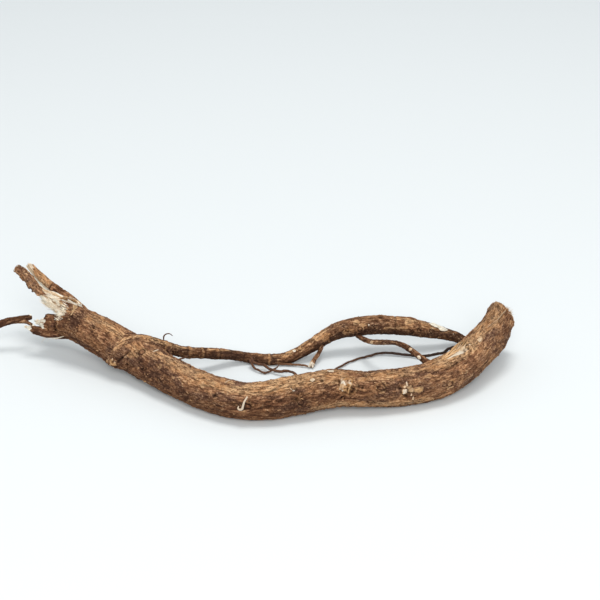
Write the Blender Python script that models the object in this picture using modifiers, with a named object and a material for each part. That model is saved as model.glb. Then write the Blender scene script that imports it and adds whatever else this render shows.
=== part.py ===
"""A dried siberian ginseng root, broken off at one end and sawn at the other.

The root grew as one piece, so it is one closed solid: a bowed main root, a lateral root that grows
out of its front and runs along its hollow side, a rootlet, the splinters and stubs of the torn end,
and the knots left by lost side roots. Each of these limbs is a tube that follows its own route, and
the limbs are united, softened where they meet, and planed where the root lies.

Frame: metres, +Z up. X runs along the root from the torn end to the sawn end, the main root bows
towards -Y, z = 0 is the surface that it lies on, and the origin is the middle of its footprint.
"""

import math

import bmesh
import bpy
from mathutils import Vector

MM = 0.001

# Driving dimensions: the nominal radius of each kind of limb. A route's last value multiplies it.
MAIN_RADIUS = 10.4 * MM
LATERAL_RADIUS = 4.5 * MM
SPLINTER_RADIUS = 3.6 * MM
STUB_RADIUS = 5.2 * MM
TWIG_RADIUS = 1.9 * MM
ROOTLET_RADIUS = 1.7 * MM
KNOT_RADIUS = 3.0 * MM
KNOT_HEIGHT = 2.8 * MM
KNOT_FOOT_SHARE = 1.35
KNOT_TOP_SHARE = 0.75

# Fineness of the solid. A limb has ROUTE_STEPS rings between two points of its route, and
# 4 + 2 * BEVEL_RESOLUTION sides. The voxel unites the limbs, the smoothing takes its steps off, and
# KEPT_SHARE of the triangles stays.
ROUTE_STEPS = 4
BEVEL_RESOLUTION = 6
KNOT_SIDES = 12
VOXEL = 1.1 * MM
SMOOTH_ROUNDS = 2
SMOOTH_FACTOR = 0.5
KEPT_SHARE = 0.095
MERGE = 0.00001
SHARP_ANGLE = math.radians(60.0)

# Routes: x, y, z of the middle of the limb in millimetres, and its thickness as a share of the
# nominal radius. Each is a free-hand line, because a root follows no rule.
MAIN_ROUTE = (
    (-110.0, 25.0, 24.4, 0.90), (-98.5, 21.5, 21.2, 1.00), (-86.5, 15.0, 18.0, 1.05),
    (-66.0, 1.0, 13.4, 1.02), (-46.0, -16.5, 10.7, 0.98), (-24.0, -34.4, 9.7, 0.98),
    (-3.0, -45.4, 9.6, 0.97), (12.0, -46.2, 9.8, 0.99), (30.0, -41.5, 11.0, 1.03),
    (49.0, -36.5, 12.0, 1.01), (69.0, -36.0, 11.3, 0.95), (90.0, -31.0, 10.0, 1.01),
    (107.0, -24.4, 10.5, 1.04), (123.0, -12.6, 13.0, 1.03), (135.0, 3.0, 16.8, 1.02),
    (144.0, 16.5, 20.4, 1.01), (150.0, 28.5, 23.8, 0.99),
)
LATERAL_ROUTE = (
    (-77.5, 0.5, 9.5, 0.84), (-75.0, -2.0, 15.5, 0.80), (-70.0, -2.5, 20.5, 0.76),
    (-61.0, -0.5, 23.0, 0.70), (-50.0, -0.5, 20.0, 0.74), (-37.0, 0.8, 14.8, 0.72),
    (-21.5, 7.5, 10.0, 0.68), (-9.0, 13.0, 6.0, 0.67), (2.5, 14.5, 3.0, 0.70),
    (14.5, 13.0, 2.8, 0.72), (25.0, 14.0, 4.0, 0.75), (34.0, 18.5, 6.6, 0.80),
    (43.5, 23.5, 10.5, 0.91), (53.5, 27.5, 14.4, 1.14), (66.0, 29.0, 16.6, 1.22),
    (79.0, 30.5, 16.8, 1.26), (92.0, 31.5, 15.5, 1.22), (104.0, 32.2, 13.0, 1.07),
    (115.0, 34.2, 9.6, 0.84), (124.5, 35.5, 5.9, 0.70), (131.5, 33.0, 3.1, 0.66),
    (136.5, 28.0, 2.3, 0.62),
)
ROOTLET_ROUTE = (
    (106.0, -20.5, 14.0, 1.20), (103.6, -18.8, 18.3, 1.12), (99.5, -16.0, 20.4, 1.05),
    (91.5, -4.5, 21.2, 1.00), (86.0, 0.5, 20.8, 0.97), (79.0, 4.8, 19.0, 0.95),
    (73.0, 11.0, 15.8, 0.95), (67.5, 21.5, 12.6, 0.94), (63.5, 27.5, 12.6, 0.90),
)
FRONT_SPLINTER_ROUTE = (
    (-100.0, 25.5, 24.0, 1.50), (-107.5, 31.5, 27.0, 1.50), (-115.0, 35.0, 30.5, 1.45),
    (-121.8, 38.2, 33.6, 1.15), (-128.2, 44.0, 36.8, 0.92), (-133.5, 50.2, 39.8, 0.84),
    (-139.5, 55.8, 42.2, 0.76),
)
BACK_SPLINTER_ROUTE = (
    (-97.0, 27.0, 23.5, 1.45), (-106.0, 37.0, 27.5, 1.25), (-114.5, 42.5, 32.0, 1.06),
    (-121.5, 46.5, 36.0, 0.92), (-126.5, 50.5, 39.0, 0.82), (-131.8, 55.0, 42.2, 0.70),
)
BROKEN_STUB_ROUTE = (
    (-101.0, 21.0, 20.8, 1.15), (-110.0, 25.0, 19.2, 1.14), (-116.5, 27.2, 18.9, 1.12),
    (-122.0, 27.8, 18.9, 0.96),
)
TWIG_STUB_ROUTE = (
    (-103.0, 19.5, 16.6, 1.60), (-113.5, 21.5, 15.2, 1.43), (-119.5, 23.0, 15.5, 1.38),
    (-127.0, 24.8, 16.5, 1.28), (-131.6, 25.6, 17.6, 1.06), (-132.3, 28.2, 19.0, 0.84),
    (-132.7, 30.5, 19.9, 0.86),
)
SNAPPED_TWIG_ROUTE = (
    (-129.4, 34.0, 20.2, 1.00), (-133.0, 32.2, 20.1, 1.06), (-137.5, 31.8, 19.5, 1.10),
    (-143.0, 31.8, 18.5, 1.10), (-148.2, 30.8, 17.0, 1.10), (-153.2, 28.8, 14.9, 1.07),
    (-157.6, 26.6, 12.6, 0.94),
)

# Knots: x, y, z of a point just under the bark in millimetres, the way out, and the share of
# KNOT_RADIUS.
KNOTS = (
    ((55.5, -42.5, 18.3), (0.0, -0.70, 0.72), 1.00),
    ((92.0, -38.4, 14.2), (0.0, -0.89, 0.45), 1.05),
    ((-2.5, -54.0, 12.0), (0.1, -0.97, 0.20), 0.70),
    ((-78.5, 1.0, 9.6), (-0.3, -0.86, -0.40), 1.10),
    ((127.0, 0.5, 20.5), (-0.55, 0.35, 0.75), 0.95),
)

# The underside is planed over this block, whose top is the surface that the root lies on.
BLOCK_LENGTH = 0.40
BLOCK_WIDTH = 0.20
BLOCK_DEPTH = 0.02


def clear_scene():
    for thing in list(bpy.data.objects):
        bpy.data.objects.remove(thing, do_unlink=True)


def new_collection(name):
    collection = bpy.data.collections.new(name)
    bpy.context.scene.collection.children.link(collection)
    return collection


def bark_material():
    material = bpy.data.materials.new("bark")
    material.use_nodes = True
    shader = material.node_tree.nodes["Principled BSDF"]
    shader.inputs["Base Color"].default_value = (0.19, 0.10, 0.05, 1.0)
    shader.inputs["Roughness"].default_value = 0.85
    shader.inputs["Metallic"].default_value = 0.0
    return material


def mesh_from_curve(curve, collection):
    """The curve's evaluated shape as a mesh object in the same place, its caps welded on."""
    graph = bpy.context.evaluated_depsgraph_get()
    mesh = bpy.data.meshes.new_from_object(curve.evaluated_get(graph))
    work = bmesh.new()
    work.from_mesh(mesh)
    bmesh.ops.remove_doubles(work, verts=work.verts, dist=MERGE)
    bmesh.ops.recalc_face_normals(work, faces=work.faces)
    work.to_mesh(mesh)
    work.free()
    limb = bpy.data.objects.new(curve.name.removesuffix("_route"), mesh)
    limb.matrix_world = curve.matrix_world
    collection.objects.link(limb)
    bpy.data.objects.remove(curve, do_unlink=True)
    return limb


def make_limb(name, route, radius, collection):
    """A round tube with filled ends whose middle passes through every point of the route."""
    data = bpy.data.curves.new(name + "_route", "CURVE")
    data.dimensions = "3D"
    data.resolution_u = ROUTE_STEPS
    data.bevel_depth = radius
    data.bevel_resolution = BEVEL_RESOLUTION
    data.use_fill_caps = True
    spline = data.splines.new("BEZIER")
    spline.bezier_points.add(len(route) - 1)
    for point, (x, y, z, share) in zip(spline.bezier_points, route):
        point.co = (x * MM, y * MM, z * MM)
        point.handle_left_type = point.handle_right_type = "AUTO"
        point.radius = share
    curve = bpy.data.objects.new(name + "_route", data)
    collection.objects.link(curve)
    bpy.context.view_layer.update()
    return mesh_from_curve(curve, collection)


def make_knot(number, place, way_out, share, collection):
    """A blunt cone that stands out of the bark where a side root broke away."""
    radius = KNOT_RADIUS * share
    mesh = bpy.data.meshes.new(f"knot_{number}")
    work = bmesh.new()
    foot, top = radius * KNOT_FOOT_SHARE, radius * KNOT_TOP_SHARE
    bmesh.ops.create_cone(
        work, cap_ends=True, segments=KNOT_SIDES, radius1=foot, radius2=top, depth=2 * KNOT_HEIGHT
    )
    work.to_mesh(mesh)
    work.free()
    knot = bpy.data.objects.new(f"knot_{number}", mesh)
    knot.location = Vector(place) * MM
    knot.rotation_euler = Vector(way_out).to_track_quat("Z", "Y").to_euler()
    collection.objects.link(knot)
    return knot


def make_block(collection):
    """The block whose top face is the plane z = 0."""
    mesh = bpy.data.meshes.new("surface_block")
    work = bmesh.new()
    bmesh.ops.create_cube(work, size=1.0)
    bmesh.ops.scale(work, vec=(BLOCK_LENGTH, BLOCK_WIDTH, BLOCK_DEPTH), verts=work.verts)
    bmesh.ops.translate(work, vec=(0.0, 0.0, -BLOCK_DEPTH / 2), verts=work.verts)
    work.to_mesh(mesh)
    work.free()
    block = bpy.data.objects.new("surface_block", mesh)
    collection.objects.link(block)
    return block


def add_boolean(body, other, operation):
    other.hide_render = True
    other.display_type = "WIRE"
    modifier = body.modifiers.new(f"{operation.lower()}_{other.name}", "BOOLEAN")
    modifier.operation = operation
    modifier.solver = "EXACT"
    modifier.object = other


def soften(body):
    """Runs the limbs into each other with a voxel remesh, then drops the triangles not needed."""
    remesh = body.modifiers.new("grown_together", "REMESH")
    remesh.mode = "VOXEL"
    remesh.voxel_size = VOXEL
    smooth = body.modifiers.new("softened", "SMOOTH")
    smooth.factor = SMOOTH_FACTOR
    smooth.iterations = SMOOTH_ROUNDS
    decimate = body.modifiers.new("thinned", "DECIMATE")
    decimate.ratio = KEPT_SHARE
    decimate.use_collapse_triangulate = True


def make_root():
    root_parts = new_collection("siberian_ginseng_root")
    helpers = new_collection("helpers")
    body = make_limb("ginseng_root", MAIN_ROUTE, MAIN_RADIUS, root_parts)
    others = [
        make_limb("lateral_root", LATERAL_ROUTE, LATERAL_RADIUS, helpers),
        make_limb("rootlet", ROOTLET_ROUTE, ROOTLET_RADIUS, helpers),
        make_limb("front_splinter", FRONT_SPLINTER_ROUTE, SPLINTER_RADIUS, helpers),
        make_limb("back_splinter", BACK_SPLINTER_ROUTE, SPLINTER_RADIUS, helpers),
        make_limb("broken_stub", BROKEN_STUB_ROUTE, STUB_RADIUS, helpers),
        make_limb("twig_stub", TWIG_STUB_ROUTE, TWIG_RADIUS, helpers),
        make_limb("snapped_twig", SNAPPED_TWIG_ROUTE, TWIG_RADIUS, helpers),
    ]
    for number, (place, way_out, share) in enumerate(KNOTS, start=1):
        others.append(make_knot(number, place, way_out, share, helpers))
    for other in others:
        add_boolean(body, other, "UNION")
    soften(body)
    add_boolean(body, make_block(helpers), "DIFFERENCE")
    body.data.materials.append(bark_material())
    body.data.shade_smooth()
    body.data.set_sharp_from_angle(angle=SHARP_ANGLE)


clear_scene()
make_root()
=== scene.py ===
# %% [markdown]
# # A dried siberian ginseng root
#
# This lesson builds one woody root, as thick as a thumb and as long as a forearm, lying on a pale
# table. It was broken off at the left end and sawn through at the right one. A lateral root as thin
# as a pencil grows out of its front, climbs over it and runs along its hollow side. Rootlets, torn
# fibres, scars and knots cover it.
#
# The whole lesson uses one idea. A root is a tube along a free line, so every limb is a grid with
# rows along its line and columns around it. Bark, cracks, scars and torn wood are then numbers that
# lift each point of the grid, and marks that tell the finish where there is bark or bare wood.

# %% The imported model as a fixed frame
import itertools
import math

import bpy
import numpy as np
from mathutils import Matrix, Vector


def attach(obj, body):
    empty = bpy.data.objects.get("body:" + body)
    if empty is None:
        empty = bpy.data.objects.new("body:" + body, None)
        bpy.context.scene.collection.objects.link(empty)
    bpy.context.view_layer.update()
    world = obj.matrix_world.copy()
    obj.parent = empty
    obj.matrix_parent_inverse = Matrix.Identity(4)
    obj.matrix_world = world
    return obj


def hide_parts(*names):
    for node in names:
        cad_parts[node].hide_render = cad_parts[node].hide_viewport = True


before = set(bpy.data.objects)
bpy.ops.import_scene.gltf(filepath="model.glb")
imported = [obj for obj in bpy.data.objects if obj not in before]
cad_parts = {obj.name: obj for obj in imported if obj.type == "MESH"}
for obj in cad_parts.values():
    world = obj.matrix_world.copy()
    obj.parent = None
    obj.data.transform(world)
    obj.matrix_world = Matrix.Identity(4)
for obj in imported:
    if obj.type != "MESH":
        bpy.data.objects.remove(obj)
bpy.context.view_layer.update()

MM = 0.001
# In millimetres: a place this close to a root's end or cut is at it.
TINY = 0.01

# %% [markdown]
# ## Noise
#
# Bark has no repeats, but it must come out the same on each run. A noise worked out from the place
# itself does both: each whole-number cell of space gets a number from a hash, and the numbers are
# blended in between. Blender has such textures too. Here they are written with numpy, because the
# grids below are displaced as whole arrays before Blender sees them.

# %% Noise on arrays of points
def hashed(cell, seed):
    """A number from 0 to 1 for each whole-number cell. Its three numbers are multiplied by large
    primes, mixed with the seed, and folded onto themselves with shifts."""
    x, y, z = (cell[..., axis].astype(np.int64) for axis in range(3))
    mixed = (x * 73856093) ^ (y * 19349663) ^ (z * 83492791) ^ (seed * 2971215073)
    mixed = ((mixed ^ (mixed >> 13)) * 1274126177) & 0xFFFFFFFF
    mixed = ((mixed ^ (mixed >> 16)) * 668265263) & 0xFFFFFFFF
    return (mixed ^ (mixed >> 15)) / 0xFFFFFFFF


def noise(points, seed=0):
    """The hashed numbers of the eight corners of a point's cell, blended with a smooth step."""
    cell = np.floor(points)
    part = points - cell
    part = part * part * (3 - 2 * part)
    total = 0
    for corner in itertools.product((0, 1), repeat=3):
        weight = np.prod(np.where(corner, part, 1 - part), axis=-1)
        total = total + weight * hashed(cell + corner, seed)
    return total


def layers(points, count, seed=0):
    """A sum of noises, each twice as fine and half as strong as the one before, from 0 to 1."""
    total = sum(noise(points * 2**k, seed + k) * 0.5**k for k in range(count))
    return total / (2 - 0.5 ** (count - 1))


def crests(points, seed=0):
    """1 along winding lines, where the noise passes its middle, and falling to 0 between them."""
    return 1 - np.abs(2 * noise(points, seed) - 1)


def plates(points, seed=0):
    """The distances to the nearest and second-nearest of one random point in each cell around,
    and the nearest one's own number. Where the two distances meet is the edge of a plate."""
    cell = np.floor(points)
    first = np.full(points.shape[:-1], 9.0)
    second = first.copy()
    number = np.zeros_like(first)
    for offset in itertools.product((-1, 0, 1), repeat=3):
        home = cell + offset
        spot = home + np.stack([hashed(home, seed + axis) for axis in range(3)], -1)
        gap = np.linalg.norm(points - spot, axis=-1)
        closer = gap < first
        second = np.where(closer, first, np.minimum(second, gap))
        number = np.where(closer, hashed(home, seed + 7), number)
        first = np.where(closer, gap, first)
    return first, second, number


def smooth(value, low, high):
    """0 up to low, 1 from high on, and a smooth step between them."""
    part = np.clip((value - low) / (high - low), 0, 1)
    return part * part * (3 - 2 * part)


def between(value, low, full, fading, gone):
    """0 up to low, 1 from full to fading, 0 again from gone on, and smooth steps between them."""
    return smooth(value, low, full) * (1 - smooth(value, fading, gone))


def bell(value, middle, width):
    """A bell curve: 1 at the middle, and 1 / e at one width from it."""
    return np.exp(-(((value - middle) / width) ** 2))


print("noise at two places:", noise(np.array([[0.2, 0.4, 0.6], [5.1, 2.2, 8.3]])).round(3))

# %% [markdown]
# ## Lines to grow along
#
# A limb's line is a list of stations: x, y and z in millimetres and the thickness
# there. A curve object could carry a round tube along it, and the solid model does just that. Here
# the line is sampled with numpy, because the bark needs to know for every point how far along the
# limb it is and how far around it.

# %% A route and its frames
class Route:
    """A smooth line through stations (x, y, z, share of the nominal radius). Between two stations
    each of the four numbers is a cubic in the chord length, whose slope at a station is that of
    the chord between its neighbours. Frames stand square to the line: `first` is the direction
    `toward` made square to it, and `second` is the tangent crossed with `first`."""

    FINE = 3000

    def __init__(self, stations, radius, toward, step):
        knots = np.array(stations, float) * (1, 1, 1, radius)
        chord = np.r_[0, np.cumsum(np.linalg.norm(np.diff(knots[:, :3], axis=0), axis=1))]
        slope = np.gradient(knots, chord, axis=0)
        slope[1:-1] = (knots[2:] - knots[:-2]) / (chord[2:] - chord[:-2])[:, None]
        at = np.linspace(0, chord[-1], self.FINE)
        k = np.clip(np.searchsorted(chord, at) - 1, 0, len(chord) - 2)
        wide = (chord[k + 1] - chord[k])[:, None]
        t = (at - chord[k])[:, None] / wide
        line = (2 * t**3 - 3 * t**2 + 1) * knots[k] + (t**3 - 2 * t**2 + t) * wide * slope[k]
        line += (3 * t**2 - 2 * t**3) * knots[k + 1] + (t**3 - t**2) * wide * slope[k + 1]
        length = np.r_[0, np.cumsum(np.linalg.norm(np.diff(line[:, :3], axis=0), axis=1))]
        self.length = length[-1]
        self.s = np.linspace(0, self.length, max(4, int(self.length / step) + 1))
        self.centre = np.stack([np.interp(self.s, length, line[:, axis]) for axis in range(3)], -1)
        self.radius = np.interp(self.s, length, line[:, 3])
        self.along = np.gradient(self.centre, self.s, axis=0)
        self.along /= np.linalg.norm(self.along, axis=1)[:, None]
        toward = np.array(toward, float)
        self.first = toward - (self.along @ toward)[:, None] * self.along
        self.first /= np.linalg.norm(self.first, axis=1)[:, None]
        self.second = np.cross(self.along, self.first)

    def gap(self, points, every=4):
        """How far each point is outside this route's tube: the least distance to its line, less
        the tube's radius there."""
        least = np.full(points.shape[:-1], 1e9)
        for centre, radius in zip(self.centre[::every], self.radius[::every]):
            least = np.minimum(least, np.linalg.norm(points - centre, axis=-1) - radius)
        return least

    def place(self, s, degrees, height=0.0):
        """The point of the tube that is s along it and so many degrees around, raised by the
        height, and the directions out of the tube, along it and around it there."""
        centre, along, first, second = (
            np.array([np.interp(s, self.s, table[:, axis]) for axis in range(3)])
            for table in (self.centre, self.along, self.first, self.second)
        )
        turn = math.radians(degrees)
        out = math.cos(turn) * first + math.sin(turn) * second
        around = math.cos(turn) * second - math.sin(turn) * first
        return centre + (np.interp(s, self.s, self.radius) + height) * out, out, along, around


# %% [markdown]
# ## A skin over a route
#
# A skin is the grid itself. Besides its points it keeps the numbers that the finish needs: the
# grain, which is the place measured along and around the limb, so that fibres follow every bend,
# and marks from 0 to 1 for bare wood, rubbed tan bark (also painted light on the main root's top),
# dark spots with painted shade in hollows and cracks, and stains with painted shade on the large
# roots. The ends are more rows of the same grid, drawn in to a single point, so each limb is one
# closed surface.

# %% A skin
class Skin:
    """Rows along a route and columns around it. A point is the route's centre there, plus
    (radius + lift) * share outward, plus push along the route. The share is 1 along the limb and
    falls as a sine to 0 over the cap rows, while the cap stands out by `reach` times a cosine."""

    def __init__(self, route, sides, start=(6, 0.0), end=(6, 0.0)):
        self.route = route
        quarter = [np.linspace(0, math.pi / 2, rows, endpoint=False) for rows, _ in (start, end)]
        out = [reach * np.cos(q) for (_, reach), q in zip((start, end), quarter)]
        rows = np.concatenate([-out[0], route.s, route.length + out[1][::-1]])
        share = np.concatenate([np.sin(quarter[0]), np.ones(len(route.s)), np.sin(quarter[1])[::-1]])
        turn = np.linspace(0, 2 * math.pi, sides, endpoint=False)
        self.s, self.turn = np.meshgrid(rows, turn, indexing="ij")
        self.share = np.repeat(share[:, None], sides, axis=1)
        self.inside = np.clip(rows, 0, route.length)
        self.radius = np.interp(self.inside, route.s, route.radius)[:, None] * np.ones_like(self.s)
        reach = self.radius * self.share
        self.grain = np.stack([self.s, reach * np.cos(self.turn), reach * np.sin(self.turn)], -1)
        self.lift = np.zeros_like(self.s)
        self.push = np.zeros_like(self.s)
        self.fine = np.zeros_like(self.s)
        self.marks = {name: np.zeros_like(self.s) for name in ("wood", "tan", "dark", "stain_and_shade")}

    def vectors(self, table):
        """A table of the route's vectors, read off at each row."""
        each_axis = [np.interp(self.inside, self.route.s, table[:, axis]) for axis in range(3)]
        return np.stack(each_axis, -1)[:, None]

    def points(self):
        """The grid's points in millimetres."""
        along = self.vectors(self.route.along)
        out = np.cos(self.turn)[..., None] * self.vectors(self.route.first)
        out = out + np.sin(self.turn)[..., None] * self.vectors(self.route.second)
        beyond = self.s - self.inside[:, None] + self.push
        reach = (self.radius + self.lift) * self.share
        return self.vectors(self.route.centre) + beyond[..., None] * along + reach[..., None] * out

    def away(self, s, degrees):
        """How far each point is from a place, in millimetres along and around the limb."""
        turn = (self.turn - math.radians(degrees) + math.pi) % (2 * math.pi) - math.pi
        return self.s - s, turn * self.radius

    def ring_noise(self, scale, seed, count=3):
        """A noise of the direction around the limb, so that it has no seam."""
        ring = np.stack([np.cos(self.turn), np.sin(self.turn), np.zeros_like(self.turn)], -1)
        return layers(ring * scale + 9, count, seed) - 0.5

    def streaks(self, long, wide, seed, count=2):
        """Layers of noise on the grain, whose largest cells are so many millimetres long and wide."""
        return layers(self.grain * (1 / long, 1 / wide, 1 / wide), count, seed)

    def blocks(self, long, wide, seed):
        """The numbers of plates on the grain that are about so many millimetres long and wide."""
        return plates(self.grain * (1 / long, 1 / wide, 1 / wide), seed)[2]

    def body(self):
        """The numbers of the rows that belong to neither cap."""
        return np.flatnonzero(self.share[:, 0] == 1)

    def mark(self, name, amount):
        """Raises a mark to the amount where that is more than it was."""
        self.marks[name] = np.maximum(self.marks[name], np.clip(amount, 0, 1))


# %% [markdown]
# ## From a grid to a piece
#
# A mesh could be made face by face. Here a whole grid goes into it at once: the points, the faces,
# and one attribute for each mark, which the finishes read. All pieces come out of one function, so
# all of them ride on the one body.

# %% Grids as mesh objects
def tube_faces(rows, sides):
    """Quads between the rings of a tube, and triangles to the point at each of its ends. Points
    count from the first end's, ring by ring, to the last end's. Normals point out."""
    near, far = np.arange(sides), (np.arange(sides) + 1) % sides
    start = 1 + sides * np.arange(rows - 1)[:, None]
    quads = np.stack([start + near, start + far, start + sides + far, start + sides + near], -1)
    top = 1 + sides * (rows - 1)
    first_end = np.stack([0 * near, 1 + far, 1 + near], -1)
    last_end = np.stack([top + near, top + far, 0 * near + top + sides], -1)
    return quads.reshape(-1, 4).tolist(), np.vstack([first_end, last_end]).tolist()


def make_piece(name, points, faces, marks, material):
    """A mesh object that rides on the root. Millimetres become metres, and a mark becomes a vector
    attribute where it has three numbers for each point, else a plain one."""
    mesh = bpy.data.meshes.new(name)
    mesh.from_pydata((points * MM).tolist(), [], faces)
    for mark, values in marks.items():
        values = values.reshape(len(points), -1)
        kind, field = ("FLOAT_VECTOR", "vector") if values.shape[1] == 3 else ("FLOAT", "value")
        mesh.attributes.new(mark, kind, "POINT").data.foreach_set(field, values.ravel().astype(np.float32))
    mesh.shade_smooth()
    mesh.materials.append(material)
    piece = bpy.data.objects.new(name, mesh)
    bpy.context.scene.collection.objects.link(piece)
    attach(piece, "root")
    print(f"{name}: {sum(len(face) - 2 for face in faces)} triangles")
    return piece


def closed_piece(name, points, marks, material):
    """A piece from a grid that closes around its columns. Its first and last rows become one point
    each, at their mean."""
    rows, sides = points.shape[:2]

    def with_end_points(grid):
        """A grid's points in one list, with the first and the last row as their means."""
        grid = grid.reshape(rows, sides, -1)
        return np.vstack([grid[0].mean(0), grid[1:-1].reshape(-1, grid.shape[-1]), grid[-1].mean(0)])

    quads, triangles = tube_faces(rows - 2, sides)
    marks = {mark: with_end_points(values) for mark, values in marks.items()}
    return make_piece(name, with_end_points(points), quads + triangles, marks, material)


RELIEF_SPAN = 1.3
TABLE_GAP = 0.05


def grow(name, skin, material):
    """A skin's piece. No point goes under the table, and the relief mark is 0.5 where the skin's
    fine detail neither rises nor sinks."""
    points = skin.points()
    points[..., 2] = np.maximum(points[..., 2], TABLE_GAP)
    relief = np.clip(0.5 + skin.fine / RELIEF_SPAN, 0, 1)
    return closed_piece(name, points, {"grain": skin.grain, "relief": relief, **skin.marks}, material)


# %% [markdown]
# ## Shader maths as plain expressions
#
# The finishes mix many masks. Written as nodes one by one that is hard to read, so a small class
# wraps a socket and lets Python's own signs add the Math nodes. Everything else comes from one
# method, which takes a node's type, its settings and its inputs.

# %% Node helpers
class Value:
    """An output socket that takes part in arithmetic."""

    def __init__(self, sheet, socket):
        self.sheet, self.socket = sheet, socket

    def math(self, operation, first, second):
        """A Math node on two values or numbers."""
        return self.sheet.add("ShaderNodeMath", {"operation": operation}, {0: first, 1: second})

    def __add__(self, other):
        return self.math("ADD", self, other)

    def __radd__(self, other):
        return self.math("ADD", other, self)

    def __sub__(self, other):
        return self.math("SUBTRACT", self, other)

    def __rsub__(self, other):
        return self.math("SUBTRACT", other, self)

    def __mul__(self, other):
        return self.math("MULTIPLY", self, other)

    def __rmul__(self, other):
        return self.math("MULTIPLY", other, self)


class Sheet:
    """A material's nodes around its Principled shader."""

    def __init__(self, name, **fixed):
        self.material = bpy.data.materials.new(name)
        self.material.use_nodes = True
        self.nodes, self.links = self.material.node_tree.nodes, self.material.node_tree.links
        self.shader = self.nodes["Principled BSDF"]
        for socket, value in fixed.items():
            self.shader.inputs[socket.replace("_", " ")].default_value = value

    def join(self, value, socket):
        """Links a value to a socket, or sets the socket to a plain number or colour."""
        if isinstance(value, Value):
            self.links.new(value.socket, socket)
        else:
            socket.default_value = value

    def add(self, kind, settings=None, inputs=None, output=0):
        """A node of one type, with its settings and then its inputs, as the value of one output."""
        node = self.nodes.new(kind)
        for name, value in (settings or {}).items():
            setattr(node, name, value)
        for name, value in (inputs or {}).items():
            self.join(value, node.inputs[name])
        return Value(self, node.outputs[output])

    def mark(self, name):
        """A mark of the mesh, as a number."""
        return self.add("ShaderNodeAttribute", {"attribute_name": name}, output="Fac")

    def vector(self, operation, first, second):
        """A Vector Math node on two vectors."""
        return self.add("ShaderNodeVectorMath", {"operation": operation}, {0: first, 1: second})

    def grain(self, *stretch):
        """The place along and around the limb in millimetres, scaled along each of its axes."""
        place = self.add("ShaderNodeAttribute", {"attribute_name": "grain"}, output="Vector")
        return self.vector("MULTIPLY", place, stretch)

    def cracks(self, vector, wide, distortion=1.0):
        """1 along thin winding lines, where a noise passes its middle, fading to 0 at their width."""
        value = self.noise(vector, detail=2.5, roughness=0.6, distortion=distortion)
        off = self.add("ShaderNodeMath", {"operation": "ABSOLUTE"}, {0: value - 0.5})
        return self.step(off, wide, 0.0)

    def noise(self, vector, detail=3.0, roughness=0.55, distortion=0.0):
        """A noise from 0 to 1 on a vector that is already scaled."""
        inputs = {"Vector": vector, "Scale": 1.0, "Detail": detail, "Roughness": roughness,
                  "Distortion": distortion}
        return self.add("ShaderNodeTexNoise", {}, inputs)

    def step(self, value, low, high):
        """0 at low, 1 at high and a smooth step between them, also where low is the larger one."""
        inputs = {"Value": value, "From Min": low, "From Max": high}
        return self.add("ShaderNodeMapRange", {"interpolation_type": "SMOOTHSTEP"}, inputs)

    def mix(self, factor, first, second, blend="MIX"):
        """Two colours mixed. A plain colour is three numbers, and 6, 7 and 2 are the Mix node's
        colour sockets."""
        settings = {"data_type": "RGBA", "blend_type": blend}
        first, second = ((*c, 1.0) if isinstance(c, tuple) else c for c in (first, second))
        return self.add("ShaderNodeMix", settings, {0: factor, 6: first, 7: second}, output=2)

    def finish(self, colour, roughness, height, depth, strength=1.0):
        """Joins the colour, the roughness and a bump of that depth in metres to the shader."""
        inputs = {"Height": height, "Distance": depth, "Strength": strength}
        bump = self.add("ShaderNodeBump", {}, inputs)
        for socket, value in (("Base Color", colour), ("Roughness", roughness), ("Normal", bump)):
            self.join(value, self.shader.inputs[socket])
        return self.material


# %% [markdown]
# ## Pale wood
#
# Under the bark the wood is cream and fibrous. Fresh breaks are nearly white, and the fibres between
# them are straw-coloured. The fibres run with the grain, so the noises are stretched along it.

# %% The colours of wood
CREAM = (0.95, 0.905, 0.78)
STRAW = (0.80, 0.60, 0.36)
GOLD = (0.66, 0.36, 0.13)
AMBER = (0.36, 0.165, 0.052)
PIT_SHADE = (0.045, 0.022, 0.012)


def wood_look(sheet):
    """Cream wood with straw fibres and a few darker ones, and the height of its fibres."""
    fibres = sheet.noise(sheet.grain(0.22, 2.6, 2.6), detail=4.0, roughness=0.62)
    cloud = sheet.noise(sheet.grain(0.12, 0.3, 0.3), detail=2.0)
    colour = sheet.mix(sheet.step(fibres, 0.48, 0.76), CREAM, STRAW)
    colour = sheet.mix(sheet.step(fibres, 0.66, 0.80) * 0.4, colour, AMBER)
    colour = sheet.mix(sheet.step(cloud, 0.50, 0.7) * 0.35, colour, STRAW)
    return colour, fibres


def pale_wood_finish(name, tint=None):
    """Wood with painted shade in its hollows, where it is brown, golden by the tan mark, nearly black with
    painted shade in pits by the dark mark, and tinted where it is old.
    """
    sheet = Sheet(name, Specular_IOR_Level=0.15)
    colour, fibres = wood_look(sheet)
    relief = sheet.mark("relief")
    colour = sheet.mix(sheet.mark("tan") * 0.9, colour, GOLD)
    # Painted shade: amber where the relief mark is low.
    colour = sheet.mix((1 - sheet.step(relief, 0.12, 0.50)) * 0.75, colour, AMBER)
    # Painted shade in the knots' pits.
    colour = sheet.mix(sheet.mark("dark"), colour, PIT_SHADE)
    if tint:
        colour = sheet.mix(1.0, colour, tint, "MULTIPLY")
    return sheet.finish(colour, 0.62 + 0.25 * fibres, fibres, 0.0004, 0.8)


PALE_WOOD = pale_wood_finish("pale_wood")
OLD_WOOD = pale_wood_finish("old_wood", tint=(0.64, 0.60, 0.57))
print("made the finishes", PALE_WOOD.name, "and", OLD_WOOD.name)
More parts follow.
